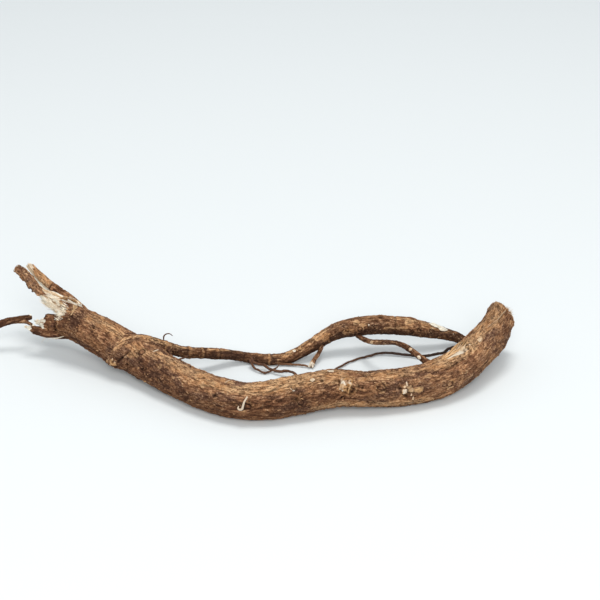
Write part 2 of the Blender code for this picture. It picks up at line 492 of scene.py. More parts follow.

# %% [markdown]
# ## Bark
#
# The bark is a thin skin of mauve-brown cork. Where it was rubbed, mostly on the high sides, the tan
# layer under it shows, and on the main root's top this tan is also painted light. Every crack and
# hollow is painted nearly black as shade, and the fronts and undersides of the large roots carry
# painted shade along with real stain. It has no shine. Close up it
# is a felt of short dark and light streaks along the grain.

# %% The colours of bark
CORK = (0.318, 0.1492, 0.0774)
MAUVE = (0.195, 0.1005, 0.0662)
UMBER = (0.085, 0.0355, 0.0174)
PITCH = (0.016, 0.007, 0.004)
TAN = (0.7, 0.4314, 0.2289)
OCHRE = (0.52, 0.2619, 0.1155)
PALE_TAN = (0.84, 0.609, 0.4033)
STAIN_AND_SHADE = (0.53, 0.485, 0.475)


def bark_finish(name, light=1.0, rubbed=1.0):
    """Cork and mauve clouds with fine light and dark streaks along the grain, tan where it is
    rubbed or marked, darker by the stain-and-shade mark (real stain, and painted shade on the
    large roots' fronts and undersides), dark winding cracks, painted shade in hollows where the
    relief mark is low, and bare wood where the mark says so."""
    sheet = Sheet(name, Specular_IOR_Level=0.08)
    clouds = sheet.noise(sheet.grain(0.04, 0.09, 0.09), detail=3.0, roughness=0.6)
    patches = sheet.noise(sheet.grain(0.12, 0.26, 0.26), detail=5.0, roughness=0.7)
    streaks = sheet.noise(sheet.grain(0.24, 1.0, 1.0), detail=4.0, roughness=0.7, distortion=0.6)
    crumbs = sheet.noise(sheet.grain(0.75, 1.0, 1.0), detail=3.0, roughness=0.75, distortion=0.8)
    long_cracks = sheet.cracks(sheet.grain(0.12, 0.62, 0.62), 0.020) * sheet.step(patches, 0.62, 0.42)
    short_cracks = sheet.cracks(sheet.grain(0.36, 1.25, 1.25), 0.035, 1.4) * sheet.step(streaks, 0.58, 0.44)
    relief, tan = sheet.mark("relief"), sheet.mark("tan")
    colour = sheet.mix(sheet.step(clouds, 0.43, 0.57), CORK, MAUVE)
    if light != 1.0:
        colour = sheet.mix(1.0, colour, (light, light, light), "MULTIPLY")
    rub = sheet.step(patches + 0.35 * relief + 0.25 * streaks, 0.76, 0.98) * (0.5 * rubbed)
    colour = sheet.mix(rub, colour, OCHRE)
    tan_colour = sheet.mix(sheet.step(patches, 0.4, 0.6), TAN, OCHRE)
    colour = sheet.mix(sheet.step(tan + 0.5 * streaks + 0.35 * patches, 0.66, 1.02), colour, tan_colour)
    stain_and_shade = sheet.mark("stain_and_shade")
    crumbly = sheet.step(clouds, 0.42, 0.58) * 0.25
    fleck = streaks * (0.60 - crumbly) + crumbs * (0.42 + crumbly) + 0.14 * patches - 0.08 - 0.03 * stain_and_shade
    colour = sheet.mix(sheet.step(fleck, 0.535, 0.405) * 0.68, colour, UMBER)
    colour = sheet.mix(sheet.step(fleck, 0.50, 0.61) * (0.58 * rubbed), colour, TAN)
    colour = sheet.mix(sheet.step(fleck, 0.42, 0.36) * 0.33, colour, PITCH)
    colour = sheet.mix(sheet.step(fleck, 0.57, 0.66) * (0.5 * rubbed), colour, PALE_TAN)
    # The stain-and-shade mark darkens the colour: real stain, and painted shade on the fronts and undersides
    # of the main and lateral roots.
    colour = sheet.mix(stain_and_shade, colour, STAIN_AND_SHADE, "MULTIPLY")
    colour = sheet.mix(short_cracks * 0.55, colour, UMBER)
    colour = sheet.mix(long_cracks * 0.8, colour, PITCH)
    # Painted shade: darker in hollows and cracks, where the relief mark is low.
    colour = sheet.mix((1 - sheet.step(relief, 0.10, 0.44)) * 0.45, colour, UMBER)
    colour = sheet.mix((1 - sheet.step(relief, 0.02, 0.20)) * 0.8, colour, PITCH)
    wood, fibres = wood_look(sheet)
    wood = sheet.mix(tan * 0.9, wood, GOLD)
    # Painted shade on bare wood: amber where the relief mark is low.
    wood = sheet.mix((1 - sheet.step(relief, 0.12, 0.48)) * 0.75, wood, AMBER)
    bare = sheet.step(sheet.mark("wood") + 0.25 * streaks, 0.5, 0.72)
    colour = sheet.mix(bare, colour, wood)
    # The dark mark: real dark spots, and painted shade in pits, creases, cracks and the tear.
    colour = sheet.mix(sheet.mark("dark") * 0.93, colour, PITCH)
    height = fleck * 1.1 + fibres * 0.15 - long_cracks * 0.35 - short_cracks * 0.2
    return sheet.finish(colour, 0.78 + 0.2 * crumbs, height, 0.0013, 1.0)


BARK = bark_finish("bark")
THIN_BARK = bark_finish("thin_bark", light=0.72, rubbed=0.8)
print("made the finishes", BARK.name, "and", THIN_BARK.name)

# %% [markdown]
# ## What bark does to a limb
#
# Seen from afar a root is lumpy. Nearer, it has long wrinkles, where it shrank as it dried, and thin
# plates of cork with cracks between them. Nearest, it is fibrous. Each of these is one noise on the
# grain, and they are added up. `fine` keeps the small ones, and the finish paints shade where it is low.

# %% Bark relief
def add_bark(skin, seed, size=1.0, lumps=0.55, share=1.0):
    """Adds lumps, swells, long wrinkles, folds, cracks, plates and fibres. The size scales them
    all, for a thinner limb, and the share says how much of it there is at each point. Cap rows
    take less of it, because they shrink the lift."""
    g = skin.grain / size
    warp = np.stack([layers(g / 5, 2, seed + 50 + axis) - 0.5 for axis in range(3)], -1)
    skin.lift += lumps * 2 * (layers(g / 24, 2, seed) - 0.5)
    skin.lift += size * 0.55 * (layers(g / 8, 2, seed + 5) - 0.5)
    wrinkles = crests((g + 3 * warp) * (1 / 14, 1 / 3.2, 1 / 3.2), seed + 10) ** 3
    folds = crests((g + 4 * warp) * (1 / 6, 1 / 2.4, 1 / 2.4), seed + 14) ** 4
    cracks = smooth(crests((g + 5 * warp) * (1 / 7.5, 1 / 2.6, 1 / 2.6), seed + 17), 0.86, 0.98)
    cracks = cracks * smooth(layers(g / 6, 2, seed + 18), 0.42, 0.6)
    number = plates((g + 6 * warp) * (1 / 4.4, 1 / 2.2, 1 / 2.2), seed + 20)[2]
    fibres = layers((g + warp) * (1 / 4.5, 1 / 1.1, 1 / 1.1), 2, seed + 30) - 0.5
    crumbs = noise((g + warp) * (1 / 1.3, 1 / 1.05, 1 / 1.05), seed + 40) - 0.5
    fine = 0.34 * wrinkles + 0.2 * folds + 0.22 * (number - 0.5) - 0.45 * cracks
    fine += 0.8 * fibres + 0.28 * crumbs - 0.08
    skin.fine += share * size * fine
    skin.lift += share * size * fine
    skin.mark("tan", smooth(number + 0.8 * layers(g / 7, 2, seed + 60), 1.45, 1.65))


# %% [markdown]
# ## Scars
#
# Lost rootlets leave ring scars, knocks leave bare patches and holes. Each is a small shape around
# one place on the limb, given by its distance along the limb and its degrees around it, and it
# changes the lift and a mark at once.

# %% Scars that any skin can take
def ragged(skin, gap, seed, depth=0.35, size=1.6):
    """A distance with an uneven edge: stretched or shrunk by a noise on the grain."""
    return gap * (1 + depth * 2 * (noise(skin.grain / size, seed) - 0.5))


def ring_scar(skin, s, degrees, size, height=0.5, rim="tan", shade=0.55):
    """A low button with a crease around it and an uneven lip outside: a plateau and two bell curves
    of the distance from the place. The crease is painted dark as shade, by `shade`."""
    gap = ragged(skin, np.hypot(*skin.away(s, degrees)), int(s * 10), 0.3, 1.3)
    button = 1 - smooth(gap, 0.45 * size, 0.8 * size)
    crease = bell(gap, 0.85 * size, 0.2 * size)
    lip = bell(gap, 1.15 * size, 0.28 * size) * smooth(noise(skin.grain / 1.8, int(s)), 0.2, 0.6)
    skin.lift += height * (0.6 * button - 0.7 * crease + 0.8 * lip)
    skin.fine += height * (0.2 * button - 0.8 * crease + 0.4 * lip)
    skin.mark(rim, 0.7 * lip)
    # Painted shade in the crease.
    skin.mark("dark", shade * crease)


def hole(skin, s, degrees, size, depth):
    """A pit with painted shade on its floor: a bell curve of the distance."""
    gap = ragged(skin, np.hypot(*skin.away(s, degrees)), int(s * 10) + 1)
    pit = bell(gap, 0, size)
    skin.lift -= depth * pit
    skin.mark("dark", 1.25 * pit - 0.15)


def bump(skin, s, degrees, long, wide, height):
    """A raised or sunken oval: a bell curve of the distance, squeezed along or around the limb."""
    along, around = skin.away(s, degrees)
    skin.lift += height * np.exp(-((along / long) ** 2) - (around / wide) ** 2)


def bare_patch(skin, s, degrees, long, wide, strength=1.0, mark="tan", depth=0.18, slant=0.0, tan=0.0):
    """A ragged oval where the cork came off, sunk by its thickness. Slant leans it around."""
    along, around = skin.away(s, degrees)
    around = around - slant * along
    gap = ragged(skin, np.hypot(along / long, around / wide), int(s * 10) + 2, 0.5, 2.2)
    inside = 1 - smooth(gap, 0.75, 1.05)
    skin.lift -= depth * inside
    skin.fine -= 0.3 * depth * inside
    if mark == "wood":
        skin.marks["tan"] *= 1 - inside
    skin.mark(mark, strength * inside)
    skin.mark("tan", tan * inside)


def flat_flake(skin, s, degrees, long, wide):
    """A smooth lens of tan cork with a paler edge and a crease around it, painted dark as shade."""
    along, around = skin.away(s, degrees)
    gap = ragged(skin, np.hypot(along / long, around / wide), 77, 0.2)
    inside, edge = 1 - smooth(gap, 0.9, 1.0), bell(gap, 0.92, 0.12)
    skin.lift += inside * (0.25 - 0.8 * skin.fine)
    skin.fine = skin.fine * (1 - 0.8 * inside) + 0.15 * inside
    skin.mark("wood", inside)
    skin.mark("tan", 0.95 * inside)
    skin.mark("dark", 0.25 * inside - 0.25 * edge)
    # Painted shade in the crease around it.
    skin.mark("dark", 0.7 * bell(gap, 1.2, 0.1))


def seat(skin, s, degrees, long, wide):
    """A crease with painted shade around an oval, where a knot comes out of the bark, and a tan line outside.
    """
    along, around = skin.away(s, degrees)
    gap = ragged(skin, np.hypot(along / long, around / wide), int(s * 10) + 4, 0.15, 1.6)
    crease = bell(gap, 1.02, 0.11) * smooth(noise(skin.grain / 2.2, int(s * 10) + 6), 0.15, 0.55)
    skin.lift -= 0.5 * crease
    skin.mark("dark", 0.85 * crease)
    skin.mark("tan", 0.6 * bell(gap, 1.3, 0.2))


def band(skin, degrees, half):
    """1 at a direction around the limb, falling to 0 at so many degrees from it."""
    off = (np.degrees(skin.turn) - degrees + 180) % 360 - 180
    return 1 - smooth(np.abs(off), 0.25 * half, half)


def groove(skin, s, degrees, s_end, degrees_end, wide, depth):
    """A crack between two places: a bell curve of the distance to the line joining them, fading
    at its ends. Its floor is painted dark as shade."""
    along, around = skin.away(s, degrees)
    run = np.array([s_end - s, math.radians(degrees_end - degrees) * skin.radius.mean()])
    part = np.clip((along * run[0] + around * run[1]) / (run @ run), 0, 1)
    wave = 0.5 * (noise(skin.grain / 2.0, int(s * 10) + 3) - 0.5)
    gap = np.hypot(along - part * run[0] + wave, around - part * run[1] + wave)
    cut = bell(gap, 0, wide * (1.15 - np.abs(2 * part - 1)))
    skin.lift -= depth * cut
    skin.fine -= 0.5 * depth * cut
    skin.mark("dark", 0.9 * cut)


def repeat(shape, skin, rows):
    """Makes a shape on a skin once for each row. A row has the shape's numbers in order, and may
    end with a dict of those that are named."""
    for row in rows:
        if isinstance(row[-1], dict):
            shape(skin, *row[:-1], **row[-1])
        else:
            shape(skin, *row)


# %% [markdown]
# ## The main root
#
# Its stations are those of the solid model, so it lies exactly where that does. Degrees count from
# the top of the root over its front: 90 faces the camera, 180 the table and 270 the hollow side.

# %% Routes of the two large limbs
MAIN_RADIUS, LATERAL_RADIUS = 10.4, 4.5
MAIN_STATIONS = (
    (-110.0, 25.0, 24.4, 0.90), (-98.5, 21.5, 21.2, 1.00), (-86.5, 15.0, 18.0, 1.05),
    (-66.0, 1.0, 13.4, 1.02), (-46.0, -16.5, 10.7, 0.98), (-24.0, -34.4, 9.7, 0.98),
    (-3.0, -45.4, 9.6, 0.97), (12.0, -46.2, 9.8, 0.99), (30.0, -41.5, 11.0, 1.03),
    (49.0, -36.5, 12.0, 1.01), (69.0, -36.0, 11.3, 0.95), (90.0, -31.0, 10.0, 1.01),
    (107.0, -24.4, 10.5, 1.04), (123.0, -12.6, 13.0, 1.03), (135.0, 3.0, 16.8, 1.02),
    (144.0, 16.5, 20.4, 1.01), (150.0, 28.5, 23.8, 0.99),
)
LATERAL_STATIONS = (
    (-77.5, 0.5, 9.5, 0.84), (-75.0, -2.0, 15.5, 0.80), (-70.0, -2.5, 20.5, 0.76),
    (-61.0, -0.5, 23.0, 0.70), (-50.0, -0.5, 20.0, 0.74), (-37.0, 0.8, 14.8, 0.72),
    (-21.5, 7.5, 10.0, 0.68), (-9.0, 13.0, 6.0, 0.67), (2.5, 14.5, 3.0, 0.70),
    (14.5, 13.0, 2.8, 0.72), (25.0, 14.0, 4.0, 0.75), (34.0, 18.5, 6.6, 0.80),
    (43.5, 23.5, 10.5, 0.91), (53.5, 27.5, 14.4, 1.14), (66.0, 29.0, 16.6, 1.22),
    (79.0, 30.5, 16.8, 1.26), (92.0, 31.5, 15.5, 1.22), (104.0, 32.2, 13.0, 1.07),
    (115.0, 34.2, 9.6, 0.84), (124.5, 35.5, 5.9, 0.70), (131.5, 33.0, 3.1, 0.66),
    (136.5, 28.0, 2.3, 0.62),
)
UP, BACK, FRONT = (0, 0, 1), (0, 1, 0), (0, -1, 0)
main_route = Route(MAIN_STATIONS, MAIN_RADIUS, UP, 0.43)
lateral_route = Route(LATERAL_STATIONS, LATERAL_RADIUS, BACK, 0.5)
print(f"main root {main_route.length:.0f} mm, lateral root {lateral_route.length:.0f} mm")

# %% [markdown]
# Where the lateral root leaves the main one, the two flow into each other. Two tubes pushed through
# one another would meet in a sharp line. So each surface rises where it comes near the other tube,
# and the crease turns into a fillet.

# %% Fillets between limbs
def add_fillet(skin, other, reach):
    """Raises a skin near another tube: (reach - distance)^2 / (4 reach) inside the reach, which is
    half of a smooth union of the two."""
    near = np.clip(reach - np.abs(other.gap(skin.points())), 0, None)
    skin.lift += near**2 / (4 * reach)


# %% The main root's surface
MAIN_SIDES = 126
main = Skin(main_route, MAIN_SIDES, start=(12, 0.0), end=(16, 0.0))
add_fillet(main, lateral_route, 6.0)
add_bark(main, seed=100)
print(f"the main root's grid has {main.s.shape[0]} rows and {MAIN_SIDES} columns")

# %% Lighter and darker stretches of the main root, with painted light on its top and painted shade on its front
broad = main.streaks(26, 9, 150, 3)
right_arm = between(main.s, 160, 172, 232, 250)
rubbed = np.interp(main.s, (100, 125, 160, 175, 240), (0.65, 1.0, 1.0, 0.8, 0.75))
# Tan on the top: partly real rubbing, partly painted light on the side that faces up.
main.mark("tan", 0.72 * band(main, 4, 60) * smooth(broad, 0.32, 0.56) * rubbed)
main.mark("tan", 0.45 * band(main, 130, 40) * smooth(broad, 0.42, 0.62))
main.mark("tan", 0.5 * band(main, 118, 30) * right_arm)
# Painted shade on the front, with some real stain: darker around 80 degrees along most of the root and around
# 105 degrees on its left part, less on the right arm's lower front.
front_stain_and_shade = np.interp(main.s, (0, 60, 100, 125, 190, 235, 262), (0.95, 0.95, 0.85, 0.95, 0.85, 0.30, 0.05))
front_stain_and_shade = front_stain_and_shade * (1 - 0.6 * band(main, 122, 36) * right_arm)
main.mark("stain_and_shade", front_stain_and_shade * band(main, 80, 86) * (1 - 0.72 * smooth(broad, 0.44, 0.58)))
main.mark("stain_and_shade", 0.75 * band(main, 105, 60) * (1 - smooth(main.s, 45, 90)))
main.mark("stain_and_shade", 0.30 * (1 - smooth(main.s, 30, 60)) + 0.05 * smooth(main.s, 170, 190))
main.mark("stain_and_shade", 0.36 * smooth(main.s, 275, 292))
main.mark("stain_and_shade", 0.22 * band(main, 20, 75) * between(main.s, 150, 165, 245, 262))
# Darker on the hollow side towards the table.
main.mark("stain_and_shade", 0.6 * band(main, 230, 90))
print(f"mean stain {main.marks['stain_and_shade'].mean():.2f}, mean tan {main.marks['tan'].mean():.2f}")

# %% Corners and hollows near the sawn end
repeat(bump, main, (
    # s, degrees, length, width, height
    (290, 112, 13, 6, 1.1), (311, 72, 9, 8, -2.0), (312, 30, 8, 8, -1.8), (311, 300, 10, 12, -2.0),
    (297, 285, 15, 9, -1.6), (314, 345, 6, 5.5, 1.9), (312, 100, 6, 5, -1.5),
))
print("shaped the sawn end's section")

# %% Scars of the main root
repeat(ring_scar, main, (
    # s, degrees, size, height
    (30.0, 56, 1.6, 0.45), (63.9, 27, 2.3, 0.4, dict(shade=0.9)), (107.0, 28, 1.5, 0.4),
    (136.2, 76, 2.2, 0.8, dict(shade=0.9)), (209.5, 55, 2.3, 0.5, dict(shade=0.7)),
    (160.2, 35, 1.5, 0.45, dict(rim="wood")), (163.7, 58, 1.9), (162.9, 80, 2.0), (208.7, 61, 1.8, 0.4),
    (247.4, 84, 2.0, 0.6), (205.0, 300, 2.2), (96.0, 250, 1.9), (232.0, 285, 1.6),
))
repeat(bare_patch, main, (
    # s, degrees, length, width, strength
    (33.0, 12, 5.0, 1.8, 0.7), (39.0, 12, 8.0, 2.8, 0.95, dict(slant=0.10)), (57.2, 54, 2.6, 1.8),
    (58.5, 30, 2.4, 2.0, 0.7), (80.4, 37, 2.2, 1.5, 0.8), (92.5, 50, 1.8, 1.0, 0.7),
    (60.0, 48, 3.6, 1.6, 0.7), (93.7, 19, 2.4, 1.4, 0.8), (112.9, 30, 4.6, 2.4),
    (124.0, 356, 5.0, 1.8, 0.7), (136.0, 14, 5.5, 3.0, dict(slant=-0.25)),
    (144.0, 12, 6.0, 2.4, dict(slant=-0.3)), (172.0, 21, 1.6, 1.5, 0.72, dict(mark="wood", tan=0.5)),
    (181.5, 36, 4.6, 2.0, 0.85),
    (183.5, 355, 2.4, 1.7, 0.75, dict(mark="wood", depth=-0.4, slant=0.4, tan=0.35)),
    (205.4, 10, 6.0, 2.2, 0.45), (218.0, 2, 5.0, 1.6, 0.5), (236.0, 40, 2.2, 1.3, 0.7),
    (275.0, 98, 7.0, 1.2, 0.9, dict(slant=-0.12)),
    (278.9, 21, 2.0, 1.3, 0.75, dict(mark="wood", depth=-0.3, tan=0.7)),
    (131.5, 72, 2.0, 0.9, dict(slant=0.5)), (168.4, 32, 3.0, 1.6, 0.7), (214.8, 26, 3.0, 1.5, 0.8),
    (237.5, 38, 1.6, 1.2, 0.8),
    (223.4, 51, 0.6, 1.3, 0.8, dict(mark="wood", depth=-0.3, slant=-0.5, tan=0.6)),
    (225.2, 69, 1.9, 2.3, 0.49, dict(mark="wood", depth=-0.2, tan=0.85)),
    (229.3, 74, 2.8, 2.2, 0.47, dict(mark="wood", depth=-0.35, tan=1.0)),
    (309.5, 86, 1.8, 2.6, dict(depth=-0.2)), (120.0, 210, 9.0, 3.0, 0.7), (200.0, 255, 8.0, 3.0, 0.8),
    (70.0, 225, 7.0, 2.5, 0.7),
))
print("put ring scars and bare patches on the main root")

# %% Holes, drips, seats and cracks of the main root
repeat(hole, main, (
    # s, degrees, size, depth
    (177.4, 30, 1.2, 1.0), (160.3, 71, 1.4, 0.6), (198.5, 50, 1.3, 1.1), (200.3, 56, 0.9, 0.9),
    (137.4, 60, 0.8, 0.9), (133.6, 68, 0.7, 0.8), (135.3, 75, 0.6, 0.8), (120.8, 57, 1.5, 0.4),
    (25.9, 40, 1.6, 0.4), (66.5, 60, 0.9, 0.5), (223.0, 88, 0.9, 1.0), (219.5, 62, 1.0, 0.7),
    (223.9, 71, 0.45, 0.6), (224.8, 82, 0.4, 0.5), (226.6, 60, 0.45, 0.5), (195.9, 60, 0.8, 1.2),
    (195.0, 72, 0.8, 1.0),
))
for drip in ((226.8, 98, 0.6, 1.3), (225.6, 86, 0.5, 0.8), (222.0, 60, 1.0, 0.7), (46.6, 92, 0.9, 1.1)):
    bare_patch(main, *drip, strength=0.8, mark="wood", depth=-0.3, tan=0.8)
repeat(seat, main, ((191.8, 49, 4.3, 4.6), (221.8, 74, 1.8, 2.1)))
flat_flake(main, 6.6, 2, 1.3, 5.6)
repeat(groove, main, (
    # s and degrees of one end, s and degrees of the other, width, depth
    (50.0, 96, 54.0, 68, 0.7, 1.2), (54.0, 68, 56.8, 41, 0.6, 1.0), (56.8, 41, 61.8, 350, 0.5, 0.8),
    (143.0, 40, 157.0, 14, 0.5, 0.6), (128.0, 66, 141.0, 88, 0.4, 0.5), (261.0, 104, 287.0, 104, 0.45, 0.7),
    (264.0, 91, 279.0, 86, 0.35, 0.5), (243.0, 40, 262.0, 30, 0.4, 0.4), (256.0, 116, 270.0, 112, 0.4, 0.5),
    (6.0, 335, 12.0, 352, 0.4, 0.5), (300.0, 20, 313.0, 30, 0.35, 0.4),
))
print("put holes and cracks in the main root")

# %% [markdown]
# On top of the right arm the bark is torn open. Seen across it, the tear has a strip of pale wood in
# front, a gash, and golden strands in a hollow behind; the gash and the hollow's floor between the
# strands are painted dark as shade. Its outline is a front and a back edge
# given at seven places. Between them the skin is lowered and roughened, and the marks make it wood.

# %% The outline of the tear
TEAR_AT = (249.0, 252.3, 256.2, 261.0, 265.2, 270.0, 276.0)
TEAR_FRONT = (0.2, 0.9, 1.5, 2.2, 2.8, 3.2, 2.5)
TEAR_BACK = (-0.6, -2.2, -4.6, -7.0, -8.5, -9.0, -8.0)
around = main.away(0, 0)[1]
front, back = (np.interp(main.s, TEAR_AT, edge) for edge in (TEAR_FRONT, TEAR_BACK))
uneven = 1.3 * (main.streaks(5, 2, 500) - 0.5)
open_tear = smooth(front - around + uneven, -0.15, 0.35) * smooth(around - back + uneven, -0.15, 0.35)
open_tear *= smooth(main.s, 247, 249.5)
across = np.clip((around - back) / (front - back), 0, 1)
tear_end = 275 - 6.6 * smooth(across, 0.55, 0.8) - 4 * (noise(main.grain * (0, 0.7, 0.7), 501) - 0.5)
open_tear *= 1 - smooth(main.s - tear_end, -0.9, 0.9)
print(f"opened the tear over {int((open_tear > 0.5).sum())} points")

# %% The wood in the tear
TEAR_SLOPE = 23.0
part = np.clip((main.s - TEAR_AT[0]) / TEAR_SLOPE, 0, 1)
strands = main.streaks(18, 1.3, 502)
steps = main.blocks(15, 2.2, 503)
pale = smooth(across, 0.61, 0.67) * smooth(main.s, 250, 254)
tear_relief = (2.0 - 1.2 * pale) * (strands - 0.5) + (1.2 - 0.8 * pale) * (steps - 0.5)
hollow = 1.5 * part * (1 - 0.6 * pale) * np.sin(math.pi * np.clip(across, 0.05, 0.95))
gash = bell(across, 0.59, 0.04) * smooth(main.s, 251, 254) * open_tear
main.lift *= 1 - 0.6 * open_tear
main.lift -= open_tear * (0.35 + hollow)
main.lift += open_tear * tear_relief
main.lift -= 0.9 * gash
main.fine = main.fine * (1 - open_tear) + open_tear * (0.5 * pale + 0.15 + tear_relief)
for mark in ("tan", "dark", "stain_and_shade"):
    main.marks[mark] *= 1 - open_tear
main.mark("wood", open_tear)
main.mark("tan", (1 - 0.78 * pale) * smooth(open_tear, 0.05, 0.5))
main.mark("tan", open_tear * pale * 0.6 * smooth(main.s, 262, 267))
# Painted shade in the gash and on the hollow's floor between the strands.
main.mark("dark", 0.75 * gash * smooth(noise(main.grain * (1 / 4, 1, 1), 506), 0.25, 0.5))
main.mark("dark", open_tear * (1 - pale) * (0.45 + 0.4 * (1 - smooth(strands, 0.36, 0.50))))
print(f"the tear's wood is up to {hollow.max() + 0.35:.1f} mm down")

# %% A lump with holes past the tear's end
repeat(bump, main, ((269.8, 9, 2.6, 2.8, 1.3), (274.8, 352, 3.6, 3.2, 1.7), (271.6, 24, 1.8, 1.8, 0.8)))
main.mark("tan", 0.75 * np.exp(-(np.hypot(main.s - 270.8, (around - 2.0) * 0.9) / 4.4) ** 4))
repeat(hole, main, (
    (267.2, 5, 0.8, 1.5), (269.0, 14, 0.9, 1.6), (270.3, 3, 0.8, 1.4), (271.8, 16, 0.8, 1.4),
    (272.8, 8, 0.7, 1.2), (268.6, 23, 0.7, 1.1), (273.6, 359, 0.7, 1.2), (273.4, 22, 0.6, 1.0),
    (266.4, 12, 0.6, 1.0), (270.6, 27, 0.6, 0.9),
))
bare_patch(main, 270.9, 10, 0.6, 0.9, mark="wood", depth=-0.3, tan=0.5)
bare_patch(main, 280.0, 18, 2.9, 1.8, strength=0.5, mark="wood", depth=-0.3, tan=0.75)
print("put a lump past the tear's end")

# %% [markdown]
# The main root's two ends differ. On the left it broke: the rim is pushed in and out along the root,
# by a list over the degrees around it, and the cap is torn wood with spikes. On the right it was
# sawn: the cap is nearly flat wood inside a thin rim of bark.

# %% The broken end of the main root
BREAK_AT = (-180, -90, -60, -35, -15, 0, 12, 30, 60, 78, 100, 120, 150, 180)
BREAK_PUSH = (2.0, 1.0, -2.0, -5.0, -3.2, -0.4, 3.0, 2.7, 2.3, 0.9, 1.6, 2.2, 2.0, 2.0)
degrees = (np.degrees(main.turn) + 180) % 360 - 180
near_break = 1 - smooth(main.s, 0, 9)
rim_noise = 1.8 * main.ring_noise(6.0, 300, 2) + 1.6 * main.ring_noise(17.0, 305, 2)
main.push += near_break * (np.interp(degrees, BREAK_AT, BREAK_PUSH) + rim_noise)
at_break = (main.s < TINY) & (main.share < 0.96)
torn_fibres = layers(main.grain * (0, 1.6, 1.6), 2, 312)
spikes = layers(main.grain * (0, 1.0, 1.0), 2, 310) ** 2
main.push += np.where(at_break, 1.2 - 3.0 * spikes, 0)
main.mark("wood", at_break)
main.mark("tan", at_break * 0.7 * smooth(torn_fibres, 0.42, 0.62))
# Painted shade between the spikes of the torn cap.
main.mark("dark", at_break * 0.5 * (1 - smooth(spikes, 0.10, 0.28)))
main.mark("tan", 0.9 * (1 - smooth(main.s, 0.4, 1.1)) * (main.share > 0.9))
print(f"the broken rim is pushed by {main.push.min():.1f} to {main.push.max():.1f} mm")

# %% The sawn end of the main root
sawn_at = main_route.length
at_saw = main.s > sawn_at - TINY
main.push += np.where(at_saw, 0.35 * (noise(main.grain / 1.5, 320) - 0.5), 0)
main.push += smooth(main.s, sawn_at - 5, sawn_at) * 1.2 * main.ring_noise(3.0, 330)
main.mark("wood", at_saw & (main.share < 0.95))
main.mark("tan", 0.8 * smooth(main.s, sawn_at - 0.9, sawn_at - 0.3))
main_root = grow("main_root", main, BARK)
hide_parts("ginseng_root")

# %% [markdown]
# ## The lateral root
#
# It is a thinner, darker tube made in the same way. It swells where it passes behind the middle of
# the main root, and ends in a dark broken tip.

# %% The lateral root's surface
LATERAL_SIDES = 60
lateral = Skin(lateral_route, LATERAL_SIDES, start=(5, 0.0), end=(8, 1.2))
add_fillet(lateral, main_route, 5.0)
add_bark(lateral, seed=400, size=0.62, lumps=0.35)
broad = lateral.streaks(14, 5, 450, 3)
lateral.mark("tan", 0.55 * band(lateral, 112, 60) * smooth(broad, 0.40, 0.62))
# Painted shade on its underside, and painted shadow on its front near the base.
lateral.mark("stain_and_shade", band(lateral, 240, 105))
lateral.mark("dark", 0.3 * band(lateral, 240, 85))
lateral.mark("stain_and_shade", 0.9 * band(lateral, 165, 90) * between(lateral.s, 20, 50, 92, 112))
lateral.mark("stain_and_shade", 0.7 * smooth(lateral.s, 196, 212))
print(f"the lateral root's grid has {lateral.s.shape[0]} rows and {LATERAL_SIDES} columns")


# %% Scars of the lateral root
def ring(skin, s, height, mark, wide):
    """A rib or crease right around a limb: a bell curve of the distance along it."""
    rib = bell(skin.s + 0.8 * (noise(skin.grain / 1.6, int(s)) - 0.5), s, wide)
    skin.lift += height * rib
    skin.mark(mark, 0.7 * rib)


repeat(ring, lateral, (
    # s, height, mark, width
    (53.0, 0.45, "tan", 1.3), (72.5, -0.5, "dark", 0.45), (61.0, 0.3, "tan", 0.9),
    (38.5, 0.3, "tan", 0.8), (88.0, -0.3, "dark", 0.5), (104.0, 0.35, "tan", 0.8),
    (141.0, 0.3, "tan", 0.9), (183.5, -0.35, "dark", 0.5),
))
repeat(ring_scar, lateral, (
    # s, degrees, size, height
    (29.0, 130, 0.9), (45.0, 165, 0.8), (84.0, 140, 0.8), (123.0, 120, 1.6, 0.5, dict(shade=0.4)),
    (162.2, 172, 1.6, 0.6), (155.0, 165, 1.2, 0.6), (171.0, 165, 1.1), (186.5, 150, 1.0),
    (197.8, 168, 1.5, 0.9, dict(shade=0.8)), (200.8, 190, 1.4, 0.9), (205.0, 154, 1.3, 0.9, dict(rim="wood")),
    (194.0, 182, 1.1, 0.7), (133.0, 120, 1.0), (176.0, 60, 1.2), (95.0, 60, 1.0),
))
repeat(bare_patch, lateral, (
    # s, degrees, length, width, strength
    (117.0, 98, 3.2, 1.5), (113.0, 125, 2.8, 1.6, 0.7),
    (119.4, 108, 1.1, 1.0, dict(mark="wood", depth=-0.3, tan=0.2)), (123.6, 116, 2.0, 1.8),
    (135.5, 130, 2.2, 1.2), (140.0, 150, 3.4, 1.8, 0.8), (155.0, 176, 4.6, 2.6), (160.4, 124, 1.9, 1.7),
    (164.3, 148, 2.1, 1.2), (167.4, 150, 0.8, 0.8, dict(mark="wood", tan=0.4)), (180.0, 170, 4.0, 0.9),
    (187.5, 163, 3.6, 1.0), (191.4, 122, 2.6, 2.2), (202.0, 128, 4.2, 1.3),
    (211.5, 100, 5.6, 2.3, dict(mark="wood", depth=-0.25, slant=0.12)),
    (207.0, 88, 2.4, 2.2, dict(mark="wood", depth=-0.25)), (36.0, 110, 2.6, 1.2, 0.8),
    (66.0, 100, 3.0, 1.2, 0.7),
))
grow("lateral_root", lateral, THIN_BARK)

# %% [markdown]
# ## The torn end
#
# The left end broke as green wood does: two long splinters stand up from it, a stub of a side root
# sticks out below, and pale wood shows between them. On each of these limbs some of the bark is
# left. So a limb here is wood all over, bark covers a part of it with a ragged edge, and the torn
# side is cut flat.

